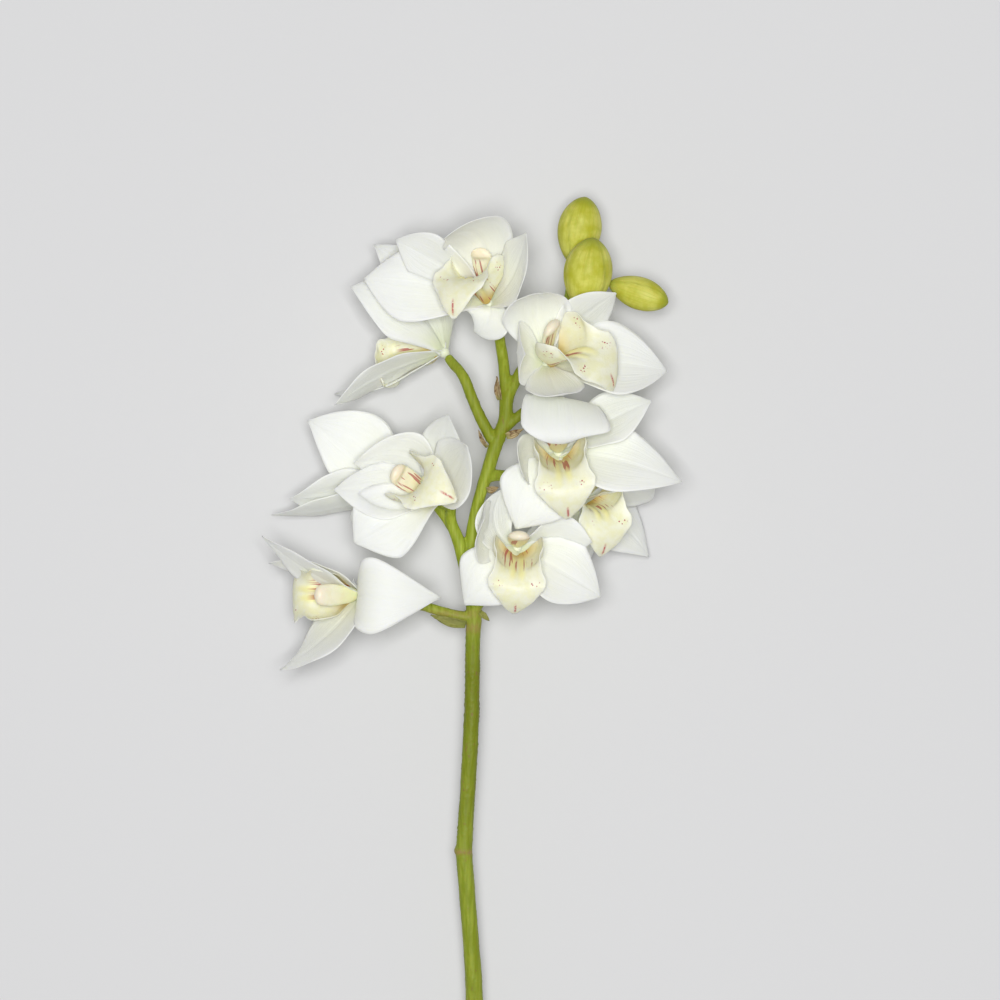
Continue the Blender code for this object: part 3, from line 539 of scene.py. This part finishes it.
def tepal_skin(seat, tepal, phase, tone):
    tip = seat + np.array(tepal["tip"], float)
    looks = unit(tepal["looks"])
    along = unit(tip - seat)
    out = unit(looks - looks.dot(along) * along)
    side = np.cross(along, out)
    if "handles" in tepal:
        controls = [seat] + [seat + np.array(h, float) for h in tepal["handles"]] + [tip]
    else:
        bend = out * tepal["bow"] * 2 + side * tepal["sway"] * 2
        controls = [seat, seat + (tip - seat) * 0.45 + bend, tip]
    us = np.linspace(0, 1, TEPAL_ROWS + 1)
    vs = np.linspace(-1, 1, TEPAL_COLS + 1)
    mids = np.array([bezier(controls, u) for u in us])
    tang = tangents(mids)
    norms = np.zeros_like(mids)
    start = TEPAL_ROWS // 3
    norms[start] = unit(looks - looks.dot(tang[start]) * tang[start])
    for i in range(start + 1, TEPAL_ROWS + 1):
        norms[i] = unit(norms[i - 1] - norms[i - 1].dot(tang[i]) * tang[i])
    for i in range(start - 1, -1, -1):
        norms[i] = unit(norms[i + 1] - norms[i + 1].dot(tang[i]) * tang[i])
    cup = tepal.get("cup", PLAIN_CUP)
    grid = np.zeros((TEPAL_ROWS + 1, TEPAL_COLS + 1, 3))
    for i, u in enumerate(us):
        turn = math.radians(tepal.get("twist", 0)) * (u - 0.33)
        n = norms[i] * math.cos(turn) + np.cross(tang[i], norms[i]) * math.sin(turn)
        s = np.cross(tang[i], n)
        w = tepal.get("width", PLAIN_WIDTH) / 2 * tepal_profile(u, tepal.get("widest", PLAIN_WIDEST))
        swell = math.sin(math.pi * u)
        for j, v in enumerate(vs):
            lift = (cup[0] + (cup[1] - cup[0]) * u) * w * v * v
            wave = TEPAL_WAVE * math.sin(5 * u + 1.7 * phase + (2.1 if v > 0 else 0))
            wave = wave * abs(v) ** 3 * swell
            ruffle = TEPAL_RUFFLE * math.sin(17 * u + 2.3 * phase + 4 * v) * abs(v) ** 5 * swell
            groove = -GROOVE_DEPTH * math.exp(-((v / GROOVE_WIDTH) ** 2)) * swell
            grid[i, j] = mids[i] + s * w * v + n * (lift + wave + ruffle + groove)
    uu, vv = np.meshgrid(us, vs, indexing="ij")
    thick = TEPAL_THICK * (1 - 0.62 * np.abs(vv) ** 6) * (1 - 0.5 * uu ** 10)
    return blade(grid, thick, {"along": uu, "across": vv, "tone": np.full_like(uu, tone)})


def ball(centre, radius, along, rows=10, sides=16):
    """A small knob, round enough to hide where the claws meet."""
    turn = np.linspace(0, 2 * math.pi, sides, endpoint=False)
    rings = []
    for q in np.linspace(0.15, math.pi - 0.15, rows):
        ring = [np.cos(turn) * math.sin(q), np.sin(turn) * math.sin(q), np.full(sides, math.cos(q))]
        rings.append(centre + np.stack(ring, 1) * radius)
    even = np.full((rows, sides), 1.0)
    return rod(rings, {"along": even * along, "across": even * 0, "tone": even * 0.5})


print("grid per tepal:", TEPAL_ROWS, "x", TEPAL_COLS)

# %% [markdown]
# The lip is a blade as well. Its middle line runs forward out of the throat, over the keels, and curls down
# to the point. A list of half widths and a list of curls turn the grid into raised side lobes behind and a
# flat lobe in front. The painted masks say where lines, freckles and the stroke on the point may show.

# %% Lip surface
LIP_LINE = [(-0.9, -1.7), (10, -4), (22, -5), (35, -11), (31, -25), (17, -32)]
LIP_AT = [0, 0.08, 0.18, 0.30, 0.38, 0.44, 0.50, 0.57, 0.66, 0.76, 0.86, 0.94, 1.0]
LIP_HALF = [2.6, 8, 19, 26, 24, 17, 14.5, 16.2, 15.2, 12.2, 8.6, 5, 1.0]
LIP_CURL_AT = [0, 0.12, 0.3, 0.42, 0.5, 0.58, 0.7, 1.0]
LIP_CURL = [60, 95, 110, 95, 45, 10, -12, -5]
LIP_ROWS = 72
LIP_COLS = 56
LIP_THICK = 0.7
LIP_WAVE = 0.8
LIP_RUFFLE = 0.3
KEEL_HEIGHT = 1.1
KEEL_APART = 2.6
KEEL_WIDTH = 1.4
KEEL_STAIN = 1.8


def bell(x, middle, width):
    return np.exp(-(((x - middle) / width) ** 2))


def lip_skin(seat, facing, up, scale, phase):
    right = np.cross(up, facing)
    us = np.linspace(0, 1, LIP_ROWS + 1)
    vs = np.linspace(-1, 1, LIP_COLS + 1)
    mids = np.array([bezier(LIP_LINE, u) for u in us])
    tang = tangents(mids)
    halves = np.interp(us, LIP_AT, LIP_HALF)
    halves[1:-1] = (halves[:-2] + 2 * halves[1:-1] + halves[2:]) / 4
    grid = np.zeros((LIP_ROWS + 1, LIP_COLS + 1, 3))
    for i, s in enumerate(us):
        half = halves[i]
        curl = math.radians(np.interp(s, LIP_CURL_AT, LIP_CURL))
        curl = curl if abs(curl) > 0.02 else 0.02
        for j, v in enumerate(vs):
            x = half / curl * math.sin(curl * v)
            y = half / curl * (1 - math.cos(curl * v))
            keel = KEEL_HEIGHT * math.exp(-((abs(v) * half - KEEL_APART) / KEEL_WIDTH) ** 2)
            keel *= np.interp(s, [0, 0.2, 0.45, 0.6], [0, 1, 1, 0])
            front = 1 if s > 0.55 else 0.2
            y += keel + LIP_WAVE * math.sin(9 * s + 2.5 * v) * abs(v) ** 3 * front
            y += LIP_RUFFLE * math.sin(34 * s + phase + 5 * v) * abs(v) ** 6 * front
            ahead, over = mids[i] + np.array([-tang[i][1], tang[i][0]]) * y
            grid[i, j] = seat + (facing * ahead + up * over + right * x) * scale
    ss, vv = np.meshgrid(us, vs, indexing="ij")
    wide = vv * halves[:, None]
    length = np.concatenate([[0], np.cumsum(np.linalg.norm(np.diff(mids, axis=0), axis=1))])
    own = np.full_like(wide, phase * 11.0)
    place = np.stack([wide, np.broadcast_to(length[:, None], wide.shape), own], -1)
    keels = 0.75 * bell(np.abs(wide), KEEL_APART, KEEL_STAIN)
    shoulder = bell(np.abs(vv), 0.62, 0.24) * bell(ss, 0.6, 0.05)
    side_lobe = bell(np.abs(vv), 0.74, 0.14) * bell(ss, 0.34, 0.05)
    paints = {
        "along": ss, "rim": np.maximum(np.abs(vv), bell(ss, 1.0, 0.06)), "place": place,
        "keel": keels * np.interp(ss, [0, 0.15, 0.5, 0.62], [0, 1, 1, 0]),
        "throat": np.interp(ss, [0, 0.06, 0.36, 0.46], [0, 1, 1, 0]) * (np.abs(wide) < 9),
        "freckle": np.clip(2.2 * np.maximum(shoulder, side_lobe) - 0.7, 0, 1),
        "stroke": bell(wide, 0, 0.55) * np.interp(ss, [0.84, 0.88, 0.95, 0.98], [0, 1, 1, 0])}
    thick = LIP_THICK * (1 - 0.6 * np.abs(vv) ** 6) * np.interp(ss, [0.9, 1], [1, 0.5])
    return blade(grid, thick, paints)


print("grid per lip:", LIP_ROWS, "x", LIP_COLS)

# %% [markdown]
# The column leans over the lip like a small hood: half round above, hollow below, with a round cap at its
# end. It is a rod whose rings are flattened on the lower side.

# %% Column surface
COLUMN_LINE = [(0, 1), (8, 2.5), (18, 8), (26, 8)]
COLUMN_HALF = ([0, 0.15, 0.6, 0.85, 0.93, 0.98, 1], [2.8, 4.4, 6.2, 5.8, 4.8, 2.8, 1.2])
COLUMN_TOP = ([0, 0.5, 0.85, 0.93, 0.98, 1], [2.0, 2.6, 3.3, 2.9, 1.8, 0.8])
COLUMN_UNDER = ([0, 0.2, 0.75, 0.85, 0.95, 1], [1.8, 0.8, 0.8, 2.4, 1.9, 0.6])
COLUMN_ROWS = 34
COLUMN_SIDES = 24


def column_skin(seat, facing, up, scale, phase):
    right = np.cross(up, facing)
    us = np.linspace(0, 1, COLUMN_ROWS + 1)
    mids = np.array([bezier(COLUMN_LINE, u) for u in us])
    tang = tangents(mids)
    rings = []
    for i, s in enumerate(us):
        half = np.interp(s, *COLUMN_HALF)
        top = np.interp(s, *COLUMN_TOP)
        under = np.interp(s, *COLUMN_UNDER)
        ring = []
        for j in range(COLUMN_SIDES):
            q = 2 * math.pi * j / COLUMN_SIDES
            y = (top if math.sin(q) > 0 else under) * math.sin(q)
            ahead, over = mids[i] + np.array([-tang[i][1], tang[i][0]]) * y
            ring.append(seat + (facing * ahead + up * over + right * half * math.cos(q)) * scale)
        rings.append(ring)
    turn = np.linspace(0, 2 * math.pi, COLUMN_SIDES, endpoint=False)
    ss, qq = np.meshgrid(us, turn, indexing="ij")
    place = np.stack([5 * np.cos(qq), 30 * ss, np.full_like(ss, phase * 7.0) + np.sin(qq)], -1)
    hollow = (np.sin(qq) < 0.1) * np.interp(ss, [0.1, 0.25, 0.7, 0.8], [0, 1, 1, 0])
    return rod(rings, {"along": ss, "place": place, "hollow": hollow})


print("rings per column:", COLUMN_ROWS + 1)

# %% [markdown]
# Now the blooms are put together: five tepals on a knob, then the lip in front of it and the column over
# the lip, each as a piece of its own, because they are the frame's nodes and have finishes of their own.

# %% Dress the nine blooms
HUB_RADIUS = 3.6
HUB_SKIN = 2.8
GAP = 0.35
LIP_DROP = 1.5

for number, (letter, bloom) in enumerate(BLOOMS.items()):
    seat = np.array(bloom["seat"], float)
    facing = unit(bloom["facing"])
    down = np.array(bloom["lip"], float)
    up = -unit(down - down.dot(facing) * facing)
    front = seat + facing * (HUB_RADIUS + GAP)
    skins = [ball(seat, HUB_SKIN, 0.15)]
    for i, tepal in enumerate(bloom["tepals"]):
        skins.append(tepal_skin(seat, tepal, i + ord(letter), (number * 5 + i) * 0.618 % 1))
    name = f"bloom_{letter}"
    dress(name + "_petals", skins, TEPAL_WHITE, name + "_tepals")
    lip = lip_skin(front - up * LIP_DROP, facing, up, bloom["scale"], number + 1)
    dress(name + "_lip_skin", [lip], LIP_CREAM, name + "_lip")
    column = column_skin(front + up * LIP_DROP, facing, up, bloom["scale"], number + 1)
    dress(name + "_column_skin", [column], COLUMN_CREAM, name + "_column")

# %% [markdown]
# The stem and its stalks grow out of one another, so hard creases between separate rods would look wrong.
# Here the rods are laid through each other and then remeshed into one skin, which rounds every fork.
# The node ring near the foot and the swellings at the forks are in the list of radii.

# %% Stem and stalks in numbers
STEM = [
    ((-12, -410, -52), 4.6), ((-11.5, -350, -41), 4.5), ((-12, -300, -33), 4.4), ((-13, -250, -24), 4.4),
    ((-14.5, -225, -21), 4.1), ((-18, -180, -16), 4.2), ((-18.7, -177, -16), 4.6), ((-18, -174, -15), 4.1),
    ((-16.5, -150, -13), 3.9), ((-15, -125, -10), 3.9), ((-14, -100, -8), 3.8), ((-13.6, -70, -5), 3.7),
    ((-13, -55, -3), 3.9), ((-15.5, -38, -2), 3.6), ((-14.5, -22, -1), 3.4), ((-12.5, -8, 0), 3),
    ((-9.5, 4, 0), 3), ((-6, 15, 0), 3.3), ((-2, 28, 0), 3.5), ((2.5, 40, 0), 3.5),
    ((3.4, 50, 0), 3.3), ((7, 58, -1), 2.9), ((16, 74, -4), 2.6), ((28, 92, -5), 2.4),
    ((34, 98, -5), 2.3),
]

# Flower and bud stalks, from inside the stem outward
STALKS = {
    "A": [((2.8, 48, 0), 3.2), ((2.4, 62, -2), 2.9), ((0.6, 76, -5), 2.8)],
    "C": [((10, 65, -2), 2.5), ((15, 62.5, 0), 2.5)],
    "D": [
        ((2.5, 36, 0), 2.6), ((12, 44, 1), 2.5), ((20, 47, 1), 2.5), ((26, 41, 0), 2.5),
        ((28.5, 31, 0), 2.5),
    ],
    "E": [((-7, 11.5, 0), 3), ((2.5, 12, -4), 2.8), ((16, 6, -16), 2.6), ((30, 0, -27), 2.6)],
    "F": [((-13, -54, -2), 3.4), ((-7, -46, 0), 3), ((1, -35, 0), 2.8)],
    "G": [((-17, -35, 0), 3.2), ((-21, -20, 1), 3.1), ((-24.5, -11, 2), 3)],
    "H": [((-17, -26, -3), 2.8), ((-25, -12, -7), 2.7), ((-36, 2, -9), 2.6)],
    "I": [((-15, -59, -3), 2.8), ((-25, -57, -2), 2.6), ((-40, -52.5, 0), 2.5)],
    "top_bud": [
        ((33, 96.5, -5), 2.1), ((35, 106, -11), 2.1), ((35.8, 114.1, -13.6), 2), ((36.4, 117.4, -13.1), 1.9),
    ],
    "middle_bud": [
        ((30, 93, -5), 2.1), ((36, 89, -1), 2.1), ((40.4, 90.1, 4.4), 2), ((40.9, 93.4, 4.9), 1.9),
    ],
    "right_bud": [
        ((33, 97, -6), 2.1), ((43, 107, -9), 2.1), ((50.7, 110.1, -5.6), 2), ((53.8, 109, -5.1), 1.9),
    ],
    "to_B": [
        ((-4, 30, 0), 3), ((-12, 46, 1), 2.8), ((-18, 61, 1.5), 2.7), ((-24, 68.8, -5.4), 2.5),
        ((-26, 71.4, -7.7), 2.3),
    ],
}
print("stations on the stem:", len(STEM), "stalks:", len(STALKS))

# %% Round rods through those stations
STEM_VOXEL = 0.00062
STALK_LEAD = 11
STALK_RADII = (2.5, 2.3)


def rod_rings(stations, sides, steps):
    pts = np.array([p for p, r in stations], float)
    ext = np.vstack([2 * pts[0] - pts[1], pts, 2 * pts[-1] - pts[-2]])
    line, radii = [], []
    for i in range(1, len(ext) - 2):
        a, b, c, d = ext[i - 1:i + 3]
        for k in range(steps):
            t = k / steps
            squared = 2 * a - 5 * b + 4 * c - d
            cubed = -a + 3 * b - 3 * c + d
            line.append(0.5 * (2 * b + (c - a) * t + squared * t * t + cubed * t ** 3))
            radii.append(stations[i - 1][1] * (1 - t) + stations[i][1] * t)
    line = np.array(line + [pts[-1]])
    radii.append(stations[-1][1])
    tang = tangents(line)
    n = unit(np.cross(tang[0], [0.3, 0.2, 1.0]))
    turn = np.linspace(0, 2 * math.pi, sides, endpoint=False)
    rings = []
    for centre, t, r in zip(line, tang, radii):
        n = unit(n - n.dot(t) * t)
        b = np.cross(t, n)
        rings.append(centre + r * (np.outer(np.cos(turn), n) + np.outer(np.sin(turn), b)))
    return rings


stem_rods = [rod(rod_rings(STEM, 20, 5), {})]
for stalk, stations in STALKS.items():
    ends = []
    if stalk in BLOOMS:
        seat = np.array(BLOOMS[stalk]["seat"], float)
        facing = unit(BLOOMS[stalk]["facing"])
        reach = (STALK_LEAD, HUB_RADIUS + GAP)
        ends = [(tuple(seat - facing * back), r) for back, r in zip(reach, STALK_RADII)]
    stem_rods.append(rod(rod_rings(stations + ends, 18, 6), {}))
stem = dress("stem_skin", stem_rods, STEM_GREEN, "stem")
remesh = stem.modifiers.new("weld", "REMESH")
remesh.mode = "VOXEL"
remesh.voxel_size = STEM_VOXEL
remesh.use_smooth_shade = True
ease = stem.modifiers.new("ease", "SMOOTH")
ease.factor = 0.5
ease.iterations = 4
graph = bpy.context.evaluated_depsgraph_get()
welded = bpy.data.meshes.new_from_object(stem.evaluated_get(graph))
stem.modifiers.clear()
stem.data = welded
print("stem faces after the weld:", len(welded.polygons))

# %% [markdown]
# Painted values tell the finish where the stem is scarred, corky or young. They are sums of soft bumps
# around places along the stem, each given as its y, its width and its share: the old leaf ring, the forks
# and the stretch below the lowest bloom. A noise also lifts the skin there, so the outline isn't too clean.

# %% Scars, cork and young growth on the stem
SCARS = [(-177, 1.3, 0.9), (-64, 3.0, 0.6), (-57, 2.5, 0.5), (-40, 1.5, 0.35)]
CORKY = [(-95, 30, 1.0), (-150, 35, 0.7), (-250, 60, 0.5), (40, 30, 0.6)]
ROUGH_LIFT = 0.18
SCAR_LIFT = 0.12
CORK_LIFT = 0.9
CORK_FROM = 0.25

spots = np.zeros(len(welded.vertices) * 3)
welded.vertices.foreach_get("co", spots)
spots = spots.reshape(-1, 3) * 1000 - SHIFT
scar = sum(share * bell(spots[:, 1], y, w) for y, w, share in SCARS)
corky = np.clip(sum(share * bell(spots[:, 1], y, w) for y, w, share in CORKY), 0, 1)
young = np.clip((spots[:, 1] + 60) / 120, 0, 1)
normals = np.zeros(len(welded.vertices) * 3)
welded.vertices.foreach_get("normal", normals)
normals = normals.reshape(-1, 3)
rough = np.array([noise.noise((p[0] * 0.35, p[1] * 0.12, p[2] * 0.35)) for p in spots])
corns = np.array([noise.noise((p[0] * 1.1, p[1] * 0.6, p[2] * 1.1)) for p in spots])
lift = rough * ROUGH_LIFT + scar * SCAR_LIFT + corky * np.clip(corns - CORK_FROM, 0, 1) * CORK_LIFT
welded.vertices.foreach_set("co", to_frame(spots + normals * lift[:, None]).ravel())
for paint_name, values in (("scar", scar), ("corky", corky), ("young", young)):
    layer = welded.attributes.new(paint_name, "FLOAT", "POINT")
    layer.data.foreach_set("value", values.astype(np.float32))
layer = welded.attributes.new("place", "FLOAT_VECTOR", "POINT")
layer.data.foreach_set("vector", spots.astype(np.float32).ravel())
welded.materials.clear()
welded.materials.append(STEM_GREEN)
welded.shade_smooth()
print("stem points:", len(spots))

# %% [markdown]
# A bud is a short fat rod that closes at both ends. Three seams run from foot to tip where the sepals
# overlap. A plain groove would look like a nut, so each seam is a narrow step, deeper on one side.

# %% Buds
BUDS = {
    "top": ((36.5, 118, -13), (43, 152, -8), 11.2),
    "middle": ((41, 94, 5), (46.5, 130.5, 11), 12.3),
    "right": ((54.4, 108.8, -5), (84, 98.5, 0), 8.4),
}
BUD_ROWS = 44
BUD_SIDES = 60
BUD_FOOT = 2.4
BUD_POINT = 0.7
SEPAL_STEP = 0.035
SEAM_WIDTH = 0.03
SEAM_DEPTH = 0.03


def bud_skin(base, tip, radius, phase):
    base, tip = np.array(base, float), np.array(tip, float)
    stations = []
    for t in np.linspace(0, 1, BUD_ROWS + 1):
        r = radius * math.sin(math.pi * t ** 1.12) ** 0.55 if 0 < t < 1 else 0.0
        stations.append((base + (tip - base) * t, max(r, BUD_FOOT if t == 0 else BUD_POINT)))
    rings = np.array(rod_rings(stations, BUD_SIDES, 1))
    turn = np.linspace(0, 2 * math.pi, BUD_SIDES, endpoint=False)
    ts, qq = np.meshgrid(np.linspace(0, 1, BUD_ROWS + 1), turn, indexing="ij")
    swing = (3 * (qq + 0.5 * ts) / (2 * math.pi) + phase) % 1
    step = SEPAL_STEP * (1 - swing) * np.sin(math.pi * ts)
    seam = np.exp(-((np.minimum(swing, 1 - swing) / SEAM_WIDTH) ** 2)) * np.sin(math.pi * ts) ** 0.4
    middle = rings.mean(1, keepdims=True)
    rings = middle + (rings - middle) * (1 - step - SEAM_DEPTH * seam)[:, :, None]
    length = np.linalg.norm(tip - base)
    lengthwise = np.stack([np.cos(qq) * 8, np.sin(qq) * 8, ts * length * 0.06], -1)
    return rod(rings, {"along": ts, "seam": seam * 0.45, "place": rings + phase * 40,
                       "lengthwise": lengthwise})


for number, (name, (base, tip, radius)) in enumerate(BUDS.items()):
    skin = bud_skin(base, tip, radius, number * 0.37)
    dress(f"bud_{name}_skin", [skin], BUD_GREEN, f"bud_{name}")
print("buds:", len(BUDS))

# %% [markdown]
# A bract is what is left of a small leaf below each stalk: a dry, curled scale, split at the tip. It is a
# tiny blade, with a ragged rim made by pulling the end of each lengthwise row back by its own amount.

# %% Bracts
BRACTS = [
    ((-0.5, 50, 1), dict(tip=(-1.8, 12, 1), looks=(-1, 0, 0.6), bow=0.4, width=6)),
    ((3.8, 32.5, 0.9), dict(tip=(9, 3.4, 2), looks=(0.3, -0.5, 0.8), bow=0.5, width=5)),
    ((-5.7, 5.1, 1.6), dict(tip=(6.3, 1.4, 1.5), looks=(0.2, -0.6, 0.8), bow=0.4, width=4.6)),
    ((-6.8, 26.5, 0.9), dict(tip=(-4.8, 8.5, 0.5), looks=(-1, -0.3, 0.5), bow=0.5, width=4.6)),
    ((-17.3, -62.9, -1.7), dict(tip=(-18, 4.6, 1.5), looks=(0, -0.7, 0.7), bow=0.8, width=7)),
    ((-9.3, -56, -0.3), dict(tip=(5, -4.6, 2), looks=(0.5, -0.3, 0.8), bow=0.4, width=3)),
]
# How far each scale is tucked toward its stalk
TUCK = [(0.8, 0, 0), (-0.9, -0.4, 0), (-1.0, 0, 0), (0.8, 0, 0), (0.3, 1.0, 0), (-0.8, 0, 0)]
GREEN_BRACTS = (5, 6)
BRACT_ROWS = 18
BRACT_COLS = 14
BRACT_THICK = 0.45
BRACT_RAG = 0.5
BRACT_CURL = 0.24
BRACT_CRUMPLE = 0.25


def bract_skin(root, scale_leaf, phase):
    root = np.array(root, float)
    tip = root + np.array(scale_leaf["tip"], float)
    along = unit(tip - root)
    looks = unit(scale_leaf["looks"])
    out = unit(looks - looks.dot(along) * along)
    side = np.cross(along, out)
    us = np.linspace(0, 1, BRACT_ROWS + 1)
    vs = np.linspace(-1, 1, BRACT_COLS + 1)
    grid = np.zeros((BRACT_ROWS + 1, BRACT_COLS + 1, 3))
    for j, v in enumerate(vs):
        pulled = 1 - BRACT_RAG * abs(noise.noise((v * 3.1, phase * 5.3, 0.7)))
        for i, u in enumerate(us):
            swell = math.sin(math.pi * u)
            w = scale_leaf["width"] / 2 * (0.72 + 0.28 * swell) * (1 - 0.75 * u ** 4)
            crumple = BRACT_CRUMPLE * noise.noise((u * 4, v * 3, phase))
            lift = BRACT_CURL * w * v * v + crumple + scale_leaf["bow"] * swell
            grid[i, j] = root + (tip - root) * u * pulled + side * w * v + out * lift
    grid += np.array(TUCK[phase - 1])
    uu, vv = np.meshgrid(us, vs, indexing="ij")
    lengthwise = np.stack([vv * 5, uu * 1.2, np.full_like(uu, phase * 3.0)], -1)
    return blade(grid, BRACT_THICK - 0.15 * np.abs(vv), {
        "along": uu, "place": grid.copy(), "lengthwise": lengthwise,
        "fresh": np.full_like(uu, float(phase in GREEN_BRACTS))})


for number, (root, scale_leaf) in enumerate(BRACTS, 1):
    skin = bract_skin(root, scale_leaf, number)
    dress(f"bract_{number}_skin", [skin], BRACT_BROWN, f"bract_{number}")
print("bracts:", len(BRACTS))

# %% [markdown]
# The table is one wide pale sheet just under the lowest petals, with hardly any grain. A flat colour would
# do, but two close greys in soft clouds keep it from looking like empty space.

# %% Table
def table_finish():
    f = Finish("pale_table", 0.9, 0.00002)
    place = f.add("TexCoord").outputs["Object"]
    cloud = f.grain(place, 1.5, 2.0)
    colour = f.over(cloud, (0.70, 0.70, 0.707, 1), (0.72, 0.72, 0.727, 1))
    return f.done(colour, f.grain(place, 300.0, 2.0))


TABLE_HALF = 4.0
TABLE_DROP = 0.0004
table_mesh = bpy.data.meshes.new("table")
signs = ((-1, -1), (1, -1), (1, 1), (-1, 1))
corners = [(x * TABLE_HALF, y * TABLE_HALF, -TABLE_DROP) for x, y in signs]
table_mesh.from_pydata(corners, [], [(0, 1, 2, 3)])
table_mesh.materials.append(table_finish())
table = bpy.data.objects.new("table", table_mesh)
bpy.context.collection.objects.link(table)
print("table side:", 2 * TABLE_HALF)

# %% [markdown]
# A white spray on a pale table wants soft, even light. A little comes from the whole surroundings. The main
# lamp is a softbox right over the camera, so the shadow of each bloom hides behind it. A lamp to one side
# would throw grey shadows, because the blooms lie this high over the table.

# %% Light
AMBIENT = 0.25
LAMP_PLACE = (0.0, 0.15, 2.9)
LAMP_AIM = (0.014, 0.13, 0)
LAMP_SIZE = 0.6
LAMP_POWER = 64
surroundings = bpy.data.worlds.new("surroundings")
bpy.context.scene.world = surroundings
surroundings.use_nodes = True
sky = surroundings.node_tree.nodes["Background"]
sky.inputs["Color"].default_value = (1, 1, 1, 1)
sky.inputs["Strength"].default_value = AMBIENT

softbox = bpy.data.objects.new("overhead_softbox", bpy.data.lights.new("overhead_softbox", "AREA"))
softbox.data.size = LAMP_SIZE
softbox.data.energy = LAMP_POWER
softbox.location = LAMP_PLACE
softbox.rotation_mode = "QUATERNION"
way = Vector(LAMP_AIM) - Vector(LAMP_PLACE)
softbox.rotation_quaternion = way.to_track_quat("-Z", "Y")
bpy.context.collection.objects.link(softbox)
bpy.context.scene.view_settings.view_transform = "Standard"
print("ambient:", AMBIENT, "lamp:", LAMP_POWER, "W")
